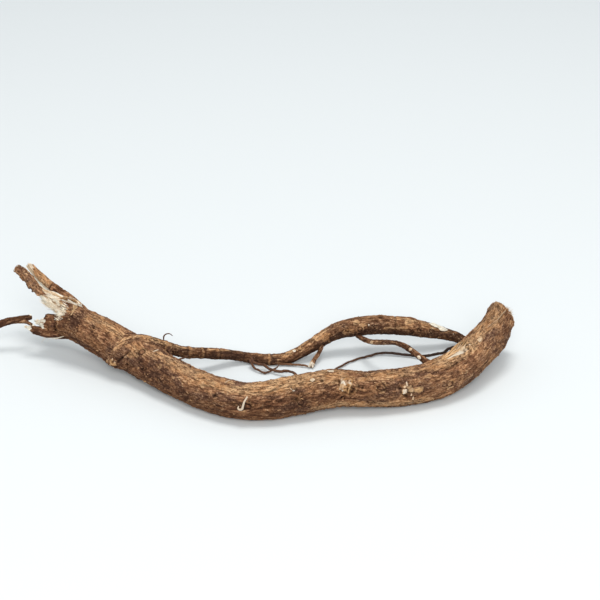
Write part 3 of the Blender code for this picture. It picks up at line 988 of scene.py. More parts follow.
# %% Torn limbs
def flatten(skin, degrees, keep):
    """Cuts a limb by a plane that faces so many degrees and lies `keep` radii from its middle: no
    point reaches further than keep / cos(angle off that direction) radii."""
    facing = np.maximum(np.cos(skin.turn - math.radians(degrees)), 0.05)
    skin.lift += skin.radius * (np.minimum(keep / facing, 1) - 1)


def squash(skin, face, table):
    """Makes a limb's section an oval: thick towards so many degrees and wide square to that. The
    table has rows of s, width and thickness, both as shares of the radius."""
    at, wide, thick = np.array(table).T
    wide, thick = np.interp(skin.s, at, wide), np.interp(skin.s, at, thick)
    turn = skin.turn - math.radians(face)
    oval = ((np.cos(turn) / thick) ** 2 + (np.sin(turn) / wide) ** 2) ** -0.5
    skin.lift += skin.radius * oval - skin.radius


def add_wood_fibres(skin, seed, share, depth):
    """Long thin ridges and low steps along the grain, as torn wood has."""
    ridges = skin.streaks(14, 0.9, seed) - 0.5
    steps = skin.blocks(13, 1.7, seed + 5) - 0.5
    fine = share * depth * (1.3 * ridges + 0.7 * steps)
    skin.fine += fine
    skin.lift += fine


def torn_limb(name, stations, radius, toward, seed, covered, sides=64, step=0.4, flat=None, oval=None,
              thick=0.8, size=0.55, spikes=2.0, torn=0.5, extra=None, material=BARK):
    """A limb whose bark covers it where `covered`, a function of the millimetres along it and the
    degrees around it, is 1. Elsewhere it is bare wood, lower by the bark's thickness. Its end
    is a brush of spikes."""
    skin = Skin(Route(stations, radius, toward, step), sides, start=(5, 0.0), end=(8, 0.4))
    if oval:
        squash(skin, *oval)
    if flat:
        flatten(skin, *flat)
    degrees = (np.degrees(skin.turn) + 180) % 360 - 180
    ragged_s = skin.s + 2.6 * (layers(skin.grain * (0, 0.55, 0.55) + 4, 3, seed) - 0.5) * 2
    ragged_turn = degrees + 16 * (layers(skin.grain * (0.7, 0, 0) + 4, 3, seed + 1) - 0.5) * 2
    bark = covered(ragged_s, ragged_turn)
    skin.lift += thick * (bark - 1)
    add_bark(skin, seed, size, lumps=0.3, share=bark)
    add_wood_fibres(skin, seed + 70, 1 - bark, torn)
    skin.mark("wood", 1 - bark)
    if extra:
        extra(skin, bark)
    at_end = skin.s >= skin.route.length - TINY
    skin.push += np.where(at_end, spikes * layers(skin.grain * (0, 1.4, 1.4), 2, seed + 80) ** 2, 0)
    grow(name, skin, material)
    return skin


# %% The two splinters
SPLINTER_RADIUS, STUB_RADIUS, TWIG_RADIUS, ROOTLET_RADIUS = 3.6, 5.2, 1.9, 1.55
FRONT_SPLINTER_OVAL = (
    (10, 1.0, 0.95), (16, 1.02, 0.72), (24, 1.0, 0.6), (28, 0.86, 0.62), (33, 0.86, 0.62), (38, 1.0, 0.62),
    (54, 1.06, 0.6),
)
BACK_SPLINTER_OVAL = ((8, 1.0, 1.0), (20, 1.08, 0.75), (54, 1.12, 0.7))
FRONT_SPLINTER_STATIONS = (
    (-100.0, 25.5, 24.0, 1.50), (-107.5, 31.5, 27.0, 1.50), (-115.0, 35.0, 30.5, 1.45),
    (-121.8, 38.2, 33.6, 1.15), (-128.2, 44.0, 36.8, 0.92), (-133.5, 50.2, 39.8, 0.84),
    (-139.8, 55.6, 41.8, 0.76),
)
BACK_SPLINTER_STATIONS = (
    (-97.0, 27.0, 23.5, 1.45), (-106.0, 37.0, 27.5, 1.25), (-114.5, 42.5, 32.0, 1.06),
    (-121.5, 46.5, 36.0, 0.92), (-126.5, 50.5, 39.0, 0.82), (-131.0, 54.6, 42.0, 0.72),
    (-132.8, 56.8, 43.3, 0.66),
)


def front_splinter_bark(s, degrees):
    """Bark on the near side only, from a slanted break on."""
    start = np.interp(degrees, (-90, -30, 0, 30, 60, 90), (31.5, 29.5, 28, 25.5, 22.5, 21.5))
    top = np.interp(s, (23, 29, 38, 48), (40, 84, 96, 118))
    return smooth(s - start, -0.4, 0.4) * smooth(degrees, -76, -70) * (1 - smooth(degrees - top, -4, 4))


def front_splinter_steps(skin, bark):
    """Broken corners along its lower edge, where the camera sees its outline, a fold in the torn
    neck, and a tan line at the bark's edge."""
    blocks = skin.blocks(2.4, 6, 705)
    skin.lift += 1.2 * (blocks - 0.4) * band(skin, -66, 60) * bark
    skin.fine += 0.7 * (blocks - 0.5) * bark
    folds = skin.streaks(22, 3.4, 706) - 0.5
    skin.lift += 1.6 * folds * (1 - bark)
    skin.mark("tan", 0.75 * (1 - bark) * smooth(skin.streaks(16, 2.6, 708), 0.52, 0.66))
    skin.mark("tan", 0.8 * np.clip(1 - np.abs(bark - 0.4) * 3, 0, 1))


def back_splinter_bark(s, degrees):
    """Bark on the far side. Its edge runs down the near side and crosses over at the tip."""
    edge = np.interp(s, (8, 18, 22, 26, 38, 43, 47, 50), (-20, -35, -60, -88, -88, -62, -20, 60))
    return smooth(degrees - edge, -6, 6) * (1 - smooth(degrees, 108, 116))


def back_splinter_lump(skin, bark):
    """A lump of bark at its foot with painted shade on it, a crack past it, and tan stretches further on."""
    bump(skin, 26.0, -60, 3.4, 3.0, 1.3)
    groove(skin, 29.6, -100, 30.4, 10, 0.5, 0.8)
    # Painted shade at the splinter's foot.
    skin.mark("stain_and_shade", bell(skin.s, 25, 3.8) * bark)
    skin.mark("tan", 0.62 * band(skin, -30, 100) * smooth(skin.s, 28, 33) * bark)
    skin.mark("tan", 0.45 * smooth(skin.s, 36, 46) * (1 - bark))


front_skin = torn_limb(
    "front_splinter", FRONT_SPLINTER_STATIONS, SPLINTER_RADIUS, FRONT, 700, front_splinter_bark,
    oval=(26, FRONT_SPLINTER_OVAL), sides=84, step=0.33, torn=0.9, size=0.75, extra=front_splinter_steps,
    spikes=0.8)
back_skin = torn_limb(
    "back_splinter", BACK_SPLINTER_STATIONS, SPLINTER_RADIUS, (0.75, -0.45, 0.5), 720, back_splinter_bark,
    oval=(-54, BACK_SPLINTER_OVAL), flat=(-118, 0.66), sides=72, step=0.35, extra=back_splinter_lump,
    spikes=1.6)


# %% A chip of pale wood on the main root's upper edge
CHIP_RADIUS = 1.6
CHIP_STATIONS = (
    (-112.5, 32.6, 33.0, 0.4), (-108.6, 31.4, 34.2, 0.8), (-104.8, 30.2, 34.8, 1.1),
    (-101.4, 28.6, 33.4, 1.0), (-97.6, 26.2, 30.8, 0.4),
)
CHIP_OVAL = ((0, 1.0, 0.4), (20, 1.0, 0.4))


def chip_edges(skin, bark):
    """Notches in its outline, and tan and dark lines along it."""
    skin.lift += 1.5 * (skin.blocks(1.9, 6, 735) - 0.6)
    lines = skin.streaks(9, 1.2, 736)
    skin.mark("tan", 0.95 * smooth(lines, 0.40, 0.52))
    skin.mark("dark", 0.8 * (1 - smooth(lines, 0.22, 0.30)))


def chip_bark(s, degrees):
    """Bark in the middle of its near face."""
    return between(s, 4.0, 5.0, 10.0, 11.0) * (1 - smooth(np.abs(degrees - 45), 52, 60))


torn_limb(
    "torn_chip", CHIP_STATIONS, CHIP_RADIUS, FRONT, 730, chip_bark, oval=(26, CHIP_OVAL), sides=48, step=0.3,
    thick=0.3, torn=0.9, extra=chip_edges, spikes=0.6)

# %% The stub of a side root, and the twig stub under it
BROKEN_STUB_STATIONS = (
    (-101.0, 21.0, 20.8, 1.15), (-110.0, 25.0, 19.2, 1.14), (-116.5, 27.2, 18.9, 1.14),
    (-120.9, 27.7, 18.9, 1.06), (-121.8, 27.8, 19.3, 0.84), (-123.4, 27.9, 19.8, 0.55),
    (-125.4, 28.0, 20.2, 0.28),
)
TWIG_STUB_STATIONS = (
    (-103.0, 19.5, 16.6, 1.60), (-113.5, 21.5, 15.2, 1.43), (-119.5, 23.0, 15.5, 1.40),
    (-126.6, 24.8, 16.5, 1.32), (-129.4, 25.2, 17.3, 0.98), (-132.0, 25.8, 18.2, 0.40),
)
SNAPPED_TWIG_STATIONS = (
    (-129.2, 34.0, 20.4, 0.92), (-133.0, 32.4, 20.2, 1.06), (-137.5, 31.8, 19.5, 1.12),
    (-143.0, 31.8, 18.5, 1.14), (-148.2, 30.8, 17.0, 1.12), (-153.2, 28.8, 14.9, 1.07),
    (-157.6, 26.6, 12.6, 0.94),
)
TWIG_STRAND_STATIONS = (
    (-126.5, 25.6, 18.6, 0.6), (-129.5, 27.0, 19.5, 1.0), (-132.2, 29.2, 19.6, 1.1),
    (-135.2, 30.8, 18.8, 1.1), (-139.0, 31.3, 18.2, 0.7),
)
STRAND_RADIUS, STRIP_RADIUS = 0.95, 0.27
PALE_STRIP_STATIONS = (
    (-119.8, 19.4, 13.9, 0.7), (-116.0, 18.6, 14.2, 1.0), (-112.0, 17.6, 14.8, 1.0),
    (-107.5, 17.5, 16.4, 0.8),
)


def stub_creases(skin, bark):
    """Creases around the stub, a crack with painted shade where it meets the main root, and a peeled corner.
    """
    repeat(groove, skin, ((12.0, -95, 11.1, -25, 1.1, 2.2), (11.1, -25, 11.4, 35, 0.8, 1.7),
                          (11.4, 35, 13.2, 85, 0.6, 1.0), (16.6, -60, 16.4, 50, 0.35, 0.4)))
    bare_patch(skin, 13.1, -42, 0.8, 2.0, depth=-0.2)
    skin.mark("stain_and_shade", 0.75 * bark)
    skin.mark("tan", 0.45 * np.clip(1 - np.abs(bark - 0.5) * 2.5, 0, 1))


def stained_bark(skin, bark):
    """Dark bark all over."""
    skin.mark("stain_and_shade", 0.85 * bark)


stub_skin = torn_limb(
    "broken_stub", BROKEN_STUB_STATIONS, STUB_RADIUS, FRONT, 740,
    lambda s, degrees: 1 - smooth(s, 20.6, 21.2), sides=96, step=0.33, thick=0.9, size=0.6, spikes=2.2,
    torn=0.9, extra=stub_creases)
twig_skin = torn_limb(
    "twig_stub", TWIG_STUB_STATIONS, TWIG_RADIUS, UP, 760,
    lambda s, degrees: 1 - smooth(s, 25.6, 26.2), sides=40, step=0.36, thick=0.4, size=0.45, spikes=1.0,
    extra=stained_bark)
torn_limb(
    "snapped_twig", SNAPPED_TWIG_STATIONS, TWIG_RADIUS, UP, 780,
    lambda s, degrees: between(s, 0.3, 0.6, 30.5, 31.0), sides=40, step=0.36, thick=0.3, size=0.45,
    spikes=1.0, extra=stained_bark, material=THIN_BARK)
torn_limb(
    "twig_strand", TWIG_STRAND_STATIONS, STRAND_RADIUS, UP, 790,
    lambda s, degrees: smooth(s, 1.5, 2.5), sides=24, step=0.3, thick=0.1, size=0.3, spikes=0.4,
    material=THIN_BARK)
torn_limb(
    "pale_strip", PALE_STRIP_STATIONS, STRIP_RADIUS, UP, 795,
    lambda s, degrees: 0 * s, sides=12, step=0.4, thick=0.0, torn=0.2, spikes=0.3)

# %% [markdown]
# ## Rootlets and hair roots
#
# Thinner roots are the same tube again, only with a smaller size of bark. The thinnest, the hair
# roots, dried into kinks. A noise that moves their line sideways makes those.

# %% The side rootlet
ROOTLET_STATIONS = (
    (106.0, -20.5, 14.0, 1.20), (103.6, -18.8, 18.3, 1.12), (99.5, -16.0, 20.4, 1.05),
    (91.5, -4.5, 21.2, 1.00), (86.0, 0.5, 20.8, 0.97), (79.0, 4.8, 19.0, 0.95),
    (73.0, 11.0, 15.8, 0.95), (67.5, 21.5, 12.6, 0.94), (63.5, 27.5, 12.6, 0.90),
)
rootlet_route = Route(ROOTLET_STATIONS, ROOTLET_RADIUS, UP, 0.4)
rootlet = Skin(rootlet_route, 32)
add_fillet(rootlet, main_route, 2.5)
add_bark(rootlet, 800, size=0.42, lumps=0.2)
rootlet.mark("stain_and_shade", 0.9 * smooth(rootlet.streaks(20, 0.9, 810), 0.45, 0.6))
rootlet.fine += 0.8 * (rootlet.streaks(14, 0.8, 815) - 0.5)
repeat(bare_patch, rootlet, (
    (10.6, 300, 1.1, 1.0, dict(mark="wood", depth=-0.35, tan=0.3)),
    (18.7, 325, 1.3, 1.2, dict(mark="wood", depth=-0.35, tan=0.8)),
    (48.1, 280, 1.3, 0.9, dict(mark="wood", depth=-0.2, tan=0.7)),
))
grow("side_rootlet", rootlet, THIN_BARK)

# %% A finish for hair roots
HAIR_DARK, HAIR_RED = (0.040, 0.016, 0.009), (0.15, 0.066, 0.030)


def hair_finish():
    """Dark red-brown, streaked along its length, with bare wood, tan and dark parts by marks."""
    sheet = Sheet("hair_root", Specular_IOR_Level=0.3)
    streaks = sheet.noise(sheet.grain(0.5, 1.6, 1.6), detail=4.0, roughness=0.7)
    colour = sheet.mix(sheet.step(streaks, 0.35, 0.65), HAIR_DARK, HAIR_RED)
    wood, fibres = wood_look(sheet)
    colour = sheet.mix(sheet.step(sheet.mark("wood"), 0.4, 0.6), colour, wood)
    colour = sheet.mix(sheet.mark("tan") * 0.8, colour, OCHRE)
    colour = sheet.mix(sheet.mark("dark"), colour, PITCH)
    return sheet.finish(colour, 0.7 + 0.2 * streaks, streaks, 0.0005, 0.8)


HAIR = hair_finish()
print("made the finish", HAIR.name)


# %% Hair roots
def hair_root(name, stations, seed, kink=0.35, tan=0.0, dark=0.0, pale_from=None, sides=10, slot="hair_root",
              material=HAIR):
    """A thin tube whose line is pushed sideways by a noise, with the radii of its stations. Its last
    part may be pale broken wood."""
    route = Route(stations, 1.0, (0.3, -0.4, 0.8), 0.35)
    still = np.zeros_like(route.s)
    drift = [layers(np.stack([route.s / 3.2, still + axis, still], -1), 2, seed + axis) - 0.5
             for axis in range(3)]
    fade = smooth(route.s, 0, 2) * smooth(route.length - route.s, 0, 2)
    route.centre = route.centre + kink * 2 * np.stack(drift, -1) * fade[:, None]
    skin = Skin(route, sides, start=(3, 0.0), end=(4, 0.3))
    skin.lift += 0.5 * skin.radius * (layers(skin.grain * (1 / 2.0, 1.2, 1.2), 2, seed + 9) - 0.5)
    skin.fine += 1.1 * (layers(skin.grain * (1 / 5, 2.0, 2.0), 2, seed + 12) - 0.5)
    skin.mark("tan", tan)
    skin.mark("dark", dark * smooth(skin.s / route.length, 0.15, 0.6))
    if pale_from is not None:
        skin.mark("wood", smooth(skin.s, pale_from, pale_from + 0.6))
    grow(name, skin, material)


HAIR_ROOTS = {
    "hair_twist_front": dict(seed=900, stations=(
        (1.5, 9.5, 5.0, 0.75), (2.6, 7.0, 3.4, 0.75), (4.8, 3.9, 2.0, 0.68), (9.9, 0.5, 1.3, 0.62),
        (14.1, 2.1, 1.6, 0.58), (17.6, 3.4, 2.8, 0.45), (18.6, 4.6, 4.0, 0.30))),
    "hair_twist_back": dict(seed=910, stations=(
        (2.5, 10.0, 5.5, 0.80), (4.4, 6.7, 4.2, 0.80), (9.8, 5.8, 3.0, 0.80), (13.5, 2.2, 2.4, 0.82),
        (17.6, 0.2, 2.2, 0.85), (22.5, -2.0, 3.6, 0.85), (26.0, -5.5, 5.0, 0.80), (29.0, -12.5, 6.5, 0.78),
        (30.5, -22.0, 8.0, 0.75), (31.5, -31.0, 10.0, 0.70))),
    "hair_red": dict(seed=920, tan=0.15, stations=(
        (12.2, 13.0, 1.6, 0.45), (17.0, 10.6, 1.3, 0.55), (23.3, 10.0, 1.5, 0.62), (31.0, 9.0, 1.4, 0.62),
        (35.7, 7.8, 1.2, 0.50), (38.5, 7.0, 1.0, 0.32))),
    "hair_long": dict(seed=930, kink=0.22, dark=0.85, stations=(
        (38.0, -6.0, 0.9, 0.45), (45.0, -0.5, 0.9, 0.62), (51.5, 4.1, 1.2, 0.58), (59.1, 12.2, 1.2, 0.62),
        (66.0, 17.5, 1.2, 0.66), (71.4, 19.7, 1.3, 0.70), (78.7, 23.1, 1.6, 0.72), (85.8, 22.5, 1.8, 0.76),
        (94.3, 21.2, 1.5, 0.80), (102.7, 18.6, 2.2, 0.84), (109.3, 16.7, 4.0, 0.86), (115.7, 14.2, 7.0, 0.88),
        (118.7, 11.6, 11.0, 0.86), (121.9, 9.6, 13.2, 0.85), (127.0, 6.5, 14.5, 0.90))),
    "broken_rootlet": dict(seed=940, kink=0.15, tan=0.15, pale_from=13.8, sides=18,
                           material=THIN_BARK, stations=(
        (44.0, 20.5, 8.5, 1.30), (42.8, 17.7, 6.0, 1.30), (40.2, 13.0, 3.8, 1.20), (37.8, 9.2, 2.4, 1.15),
        (36.2, 6.6, 1.7, 0.60))),
    "rootlet_prong": dict(seed=945, kink=0.1, tan=0.2, pale_from=5.0, sides=12, material=THIN_BARK, stations=(
        (40.6, 13.6, 4.2, 0.70), (39.6, 11.0, 3.0, 0.80), (38.8, 8.6, 2.0, 0.75), (38.4, 6.4, 1.3, 0.40))),
    "hair_bridge": dict(seed=950, kink=0.25, stations=(
        (-45.6, -3.0, 19.0, 0.45), (-43.5, -6.0, 17.5, 0.50), (-40.5, -9.5, 15.6, 0.52),
        (-37.0, -6.5, 14.4, 0.50), (-33.5, -1.5, 13.5, 0.45))),
    "hair_hook": dict(seed=960, kink=0.1, stations=(
        (-47.8, 1.5, 22.5, 0.42), (-47.6, 1.0, 24.8, 0.40), (-46.2, 1.2, 26.2, 0.36),
        (-44.2, 2.0, 26.0, 0.32), (-42.8, 2.4, 24.6, 0.22))),
    "hair_loop": dict(seed=965, kink=0.15, stations=(
        (-44.6, -3.0, 20.5, 0.30), (-44.0, -5.0, 17.2, 0.34), (-42.4, -7.6, 15.2, 0.36),
        (-40.2, -9.8, 15.0, 0.36), (-37.2, -11.4, 16.6, 0.30))),
    "hair_top": dict(seed=970, kink=0.2, tan=0.3, stations=(
        (93.5, 33.0, 20.6, 0.30), (97.5, 32.2, 20.6, 0.36), (101.0, 29.6, 20.0, 0.40),
        (102.6, 27.6, 18.4, 0.42), (102.4, 27.0, 16.0, 0.45))),
}
for name, build in HAIR_ROOTS.items():
    hair_root(name, **build)


# %% Torn fibres that lie on the bark
def bark_fibre(name, places, seed, tan):
    """A pale fibre over the main root's bark. Each place is a distance along the root, degrees
    around it, a height above the tube and a radius."""
    stations = [(*main_route.place(s, degrees, height)[0], size) for s, degrees, height, size in places]
    hair_root(name, stations, seed, kink=0.06, tan=tan, sides=8, slot="pale_wood", material=OLD_WOOD)


BARK_FIBRES = {
    "fibre_hook": ((136.5, 46, 0.3, 0.38), (136.0, 54, 1.2, 0.48), (135.4, 63, 1.5, 0.55),
                   (135.0, 74, 1.3, 0.62), (134.6, 83, 0.9, 0.66), (133.8, 86, 0.9, 0.62),
                   (133.0, 82, 1.0, 0.55), (133.2, 76, 0.8, 0.30)),
    "fibre_curl": ((70.0, 348, 0.4, 0.30), (70.9, 354, 1.2, 0.34), (70.4, 2, 1.0, 0.34),
                   (69.6, 6, 0.3, 0.25)),
    "fibre_loop": ((124.6, 350, 0.3, 0.22), (125.2, 356, 1.2, 0.25), (124.2, 4, 1.2, 0.24),
                   (123.4, 8, 0.3, 0.2)),
    "fibre_line_long": ((291.0, 12, 0.3, 0.10), (296.0, 17, 0.4, 0.13), (300.5, 22, 0.45, 0.15),
                        (305.9, 24, 0.5, 0.15), (310.0, 28, 0.4, 0.12)),
    "fibre_line_short": ((309.5, 37, 0.4, 0.12), (310.2, 50, 0.5, 0.16), (310.4, 62, 0.4, 0.12)),
}
FIBRE_TAN = {"fibre_hook": 0.25, "fibre_curl": 0.25}
for number, (name, places) in enumerate(BARK_FIBRES.items()):
    bark_fibre(name, places, 980 + number, FIBRE_TAN.get(name, 0.6))


# %% Golden strands in the tear
def on_skin(skin, s, degrees, height):
    """The grid's point nearest to a place on a skin, raised by the height."""
    row = np.abs(skin.s[:, 0] - s).argmin()
    column = round(degrees / 360 * skin.turn.shape[1]) % skin.turn.shape[1]
    return skin.points()[row, column] + height * skin.route.place(s, degrees)[1]


STRAND_COUNT = 11
STRAND_HEIGHT = 0.10
STRAND_RADII = (0.10, 0.19, 0.25, 0.28, 0.26, 0.20, 0.10)
STRAND_TANS = (0.8, 1.0, 0.95, 1.0)
for number in range(STRAND_COUNT):
    at = np.linspace(248.3 + 1.1 * (number % 4), 274.5 - 1.9 * (number % 3), len(STRAND_RADII))
    low, high = (np.interp(at, TEAR_AT, edge) for edge in (TEAR_BACK, TEAR_FRONT))
    turned = np.degrees((low + (high - low) * (0.03 + 0.055 * number)) / MAIN_RADIUS)
    thick = 0.65 + 0.6 * (0.37 * number % 1)
    stations = [(*on_skin(main, s, degrees, STRAND_HEIGHT), radius * thick)
                for s, degrees, radius in zip(at, turned, STRAND_RADII)]
    hair_root(f"tear_strand_{number + 1}", stations, 990 + number, kink=0.2, tan=STRAND_TANS[number % 4],
              sides=12, slot="pale_wood", material=(PALE_WOOD, OLD_WOOD)[number % 2])

# %% [markdown]
# ## Knots
#
# Side roots broke off the front of the main root in three places and left knots: low stumps of pale
# wood whose fibres stand across the root. Each is a squashed ball with the outline of a rounded
# square, sunk in the bark, with ridges and holes in its top.

# %% Knots
KNOT_BED = 10.0


def knot(name, place, out, along, long, wide, height, seed, pits, cream=(), tan=0.8, shade=0.35, square=3.0):
    """A squashed ball at a place, with its top towards `out`. With fall from 0 at its top to pi at
    its bottom, its reach is sin(fall)^0.6 times a rounded-square outline, and its height is
    cos(fall)^0.6 of the height above the bark, less the drop y^2 / (2 KNOT_BED) of the bark it sits
    on. Ridges run across. `pits` are x, y, size and depth, and are painted dark as shade. The wood
    is tan by a share, but for the `cream` spots, which are x, y and size. It has painted shade,
    browner by the `shade`, at its lower right."""
    rows, sides, sink = 48, 110, 2.2
    around = np.linspace(0, 2 * math.pi, sides, endpoint=False)
    fall, turn = np.meshgrid(np.linspace(0, math.pi, rows), around, indexing="ij")
    outline = (np.abs(np.cos(turn)) ** square + np.abs(np.sin(turn)) ** square) ** (-1 / square)
    circle = np.stack([np.cos(turn), np.sin(turn), 0 * turn], -1)
    outline = outline * (1 + 0.5 * (layers(circle * 3.0 + 5, 3, seed) - 0.5))
    reach = np.sin(fall) ** 0.6 * outline
    x, y = long * reach * np.cos(turn), wide * reach * np.sin(turn)
    on_top = fall < math.pi / 2
    rise = np.where(on_top, height * np.abs(np.cos(fall)) ** 0.6, -sink * np.abs(np.cos(fall)) ** 0.8)
    flat = np.stack([x, y, 0 * x], -1)
    bent = flat + 1.2 * np.stack([noise(flat / 2.5, seed + 4), noise(flat / 2.5 + 9, seed + 4), 0 * x], -1)
    ridges = crests(bent * (1 / 1.5, 1 / 4.5, 1), seed + 5) - 0.5
    chunks = plates(bent * (1 / 1.9, 1 / 3.0, 1) + 3, seed + 6)[2] - 0.5
    fine = (ridges + 0.9 * chunks) * min(1.0, height / 1.6)
    dark = np.zeros_like(x)
    for pit_x, pit_y, pit_size, pit_depth in pits:
        gap = np.hypot(x - pit_x, (y - pit_y) * 1.2) * (1 + 1.8 * (noise(flat / 0.8, seed + 8) - 0.5))
        pit = bell(gap, 0, pit_size)
        rise -= pit_depth * pit * on_top
        # Painted shade in the pits.
        dark = np.maximum(dark, np.clip(1.4 * pit - 0.15, 0, 1))
    rise += fine * 0.9 * on_top * smooth(fall, 0.02, 0.3)
    drop = y**2 / (2 * KNOT_BED)
    points = place + x[..., None] * along + y[..., None] * np.cross(out, along)
    points = points + (rise - drop)[..., None] * out
    tan = tan + 0.6 * smooth(layers(bent * (1 / 1.2, 1 / 3.5, 1), 2, seed + 9), 0.45, 0.66)
    for spot_x, spot_y, spot_size in cream:
        gap = np.hypot(x - spot_x, y - spot_y) * (1 + (noise(flat / 0.9, seed + 12) - 0.5)) / spot_size
        tan = tan * (0.25 + 0.75 * smooth(gap, 0.7, 1.2))
    tan = np.maximum(tan, smooth(fall, 1.1, 1.5) * 0.9)
    # Painted shade: browner towards the lower right.
    lower_right_shade = shade * smooth(x / long - 0.4 * y / wide, 0.1, 0.8)
    marks = {"grain": np.stack([y, x, rise], -1), "relief": np.clip(0.50 + 0.9 * fine - lower_right_shade, 0, 1),
             "tan": np.clip(np.maximum(tan, smooth(dark, 0.02, 0.25)), 0, 1), "dark": 0.85 * dark,
             "wood": np.ones_like(x)}
    closed_piece(name, points, marks, OLD_WOOD)


def on_main(s, degrees):
    """A place on the main root's route, and its directions out and along, for a knot."""
    place, out, along, around = main_route.place(s, degrees)
    return dict(place=place, out=out, along=along)


knot("knot_middle", **on_main(191.6, 49), long=3.5, wide=4.2, height=2.0, seed=1000, square=4.0,
     cream=((-2.7, 1.5, 1.6), (-1.3, 1.3, 1.5), (0.1, 1.1, 1.3), (1.4, 1.2, 1.1), (2.4, 2.0, 0.8),
            (-2.7, -3.2, 1.0)),
     pits=((3.3, -1.5, 0.9, 1.6), (2.6, -3.3, 0.9, 1.2), (0.3, -0.6, 0.45, 0.9), (1.5, -1.0, 0.5, 0.9),
           (0.9, -2.2, 0.5, 0.9), (2.5, 2.0, 0.5, 0.7), (-0.9, -4.0, 0.5, 0.8)))
knot("knot_right_pale", **on_main(221.8, 74), long=1.35, wide=1.6, height=1.0, seed=1010, tan=0.5, shade=0.15,
     square=4.5, cream=((-0.2, 0.3, 1.3),), pits=((1.0, -0.9, 0.4, 0.8), (0.2, -1.5, 0.4, 0.7)))
LEFT_KNOT_FACING, LEFT_KNOT_SIDE = (-0.25, -0.93, 0.05), (0.2, 0.1, 0.97)
left_out = np.array(LEFT_KNOT_FACING) / np.linalg.norm(LEFT_KNOT_FACING)
left_along = np.cross(left_out, LEFT_KNOT_SIDE)
left_along = left_along / np.linalg.norm(left_along)
knot("knot_left", place=np.array((-76.2, -4.9, 12.2)), out=left_out, along=left_along, long=2.2, wide=3.2,
     height=1.6, seed=1030, tan=0.85, cream=((-0.5, -0.6, 0.8),),
     pits=((0.5, 0.8, 0.6, 1.0), (-0.6, -1.2, 0.5, 0.9), (1.3, -2.0, 0.5, 0.8)))

# %% [markdown]
# ## Fibres and flakes
#
# Hundreds of thin fibres stand out of the breaks, and small flakes of cork have come loose. One small
# closed shape is enough for each kind. It is copied as an array: every copy has its own base,
# direction, length and width, and all copies together are one mesh.

# %% Copies as one mesh
def copies(name, points, faces, marks, material):
    """One piece from N copies of a small closed shape: points is N x V x 3 in millimetres, and the
    faces of copy n are the first copy's, moved on by n V."""
    count, size = points.shape[:2]
    moved_on = size * np.arange(count)[:, None, None]
    quads, triangles = ((np.array(kind) + moved_on).reshape(-1, len(kind[0])).tolist() for kind in faces)
    flat = points.reshape(-1, 3).copy()
    flat[:, 2] = np.maximum(flat[:, 2], TABLE_GAP)
    make_piece(name, flat, quads + triangles, marks, material)


# %% Fibres
def square_to(direction, other=(0.31, 0.52, 0.79)):
    """Two directions square to each given one."""
    first = np.cross(direction, other)
    first /= np.linalg.norm(first, axis=-1, keepdims=True)
    return first, np.cross(direction, first)


def fibres(name, base, toward, length, width, curl, seed, material=PALE_WOOD, tan=0.0):
    """Thin tapering tubes with four sides. At share t of its length a fibre's middle is
    base + length * (toward * t + curl * t^2), and its half width is width * (1 - 0.85 t)."""
    rows, sides = 5, 4
    toward = toward / np.linalg.norm(toward, axis=-1, keepdims=True)
    first, second = square_to(toward)
    t = np.linspace(0, 1, rows)
    run = toward[:, None] * t[:, None] + curl[:, None] * t[:, None] ** 2
    middle = base[:, None] + length[:, None, None] * run
    turn = 2 * math.pi * np.arange(sides) / sides
    circle = np.cos(turn)[:, None] * first[:, None] * 1.5 + np.sin(turn)[:, None] * second[:, None] * 0.7
    half = width[:, None] * (1 - 0.85 * t)
    rings = middle[:, :, None] + half[..., None, None] * circle[:, None]
    tips = middle[:, -1] + 0.3 * width[:, None] * toward
    points = np.concatenate([middle[:, :1], rings.reshape(len(base), -1, 3), tips[:, None]], axis=1)
    rng = np.random.default_rng(seed)
    grain = (points - base[:, None]) + rng.uniform(0, 90, (len(base), 1, 3))
    even = np.ones(points.shape[:2])
    tans = even * np.clip(tan + rng.uniform(-0.4, 0.4, (len(base), 1)), 0, 1)
    marks = {"grain": grain, "relief": 0.7 * even, "wood": even, "tan": tans, "dark": 0 * even,
             "stain_and_shade": 0 * even}
    copies(name, points, tube_faces(rows, sides), marks, material)


# %% Fibres at the breaks
def fibres_on_limb(name, route, count, seed, s_range, degrees_range, lean, length, width, tan=0.0,
                   against=False):
    """Fibres that start on a limb's surface and run along it, or against it, leaning away from it."""
    rng = np.random.default_rng(seed)
    at, around = rng.uniform(*s_range, count), rng.uniform(*degrees_range, count)
    places = [route.place(s, degrees, -0.4) for s, degrees in zip(at, around)]
    base, out, along = (np.array([place[part] for place in places]) for part in range(3))
    toward = (-along if against else along) + lean * out + 0.10 * rng.normal(size=(count, 3))
    curl = 0.12 * rng.normal(size=(count, 3))
    length, width = rng.uniform(*length, count), rng.uniform(*width, count)
    fibres(name, base, toward, length, width, curl, seed + 1, tan=tan)


fibres_on_limb("fibres_torn_end", main_route, 110, 1100, (1.0, 4.0), (-60, 70), 0.10, (1.2, 4.0),
               (0.12, 0.30), against=True)
fibres_on_limb("fibres_neck", front_skin.route, 190, 1110, (9, 20), (-75, 60), 0.03, (3.0, 6.5), (0.14, 0.34),
               tan=0.1)
fibres_on_limb("fibres_neck_edge", front_skin.route, 110, 1115, (13, 25), (-100, -60), 0.10, (1.5, 4.5),
               (0.08, 0.16), tan=0.1)
fibres_on_limb("fibres_crack", back_skin.route, 60, 1118, (24, 46), (-125, -95), 0.12, (2.0, 6.0),
               (0.12, 0.28), tan=0.1)
fibres_on_limb("wisps", twig_skin.route, 5, 1119, (14, 17), (150, 210), 1.6, (3.0, 5.5), (0.05, 0.08),
               tan=0.5)


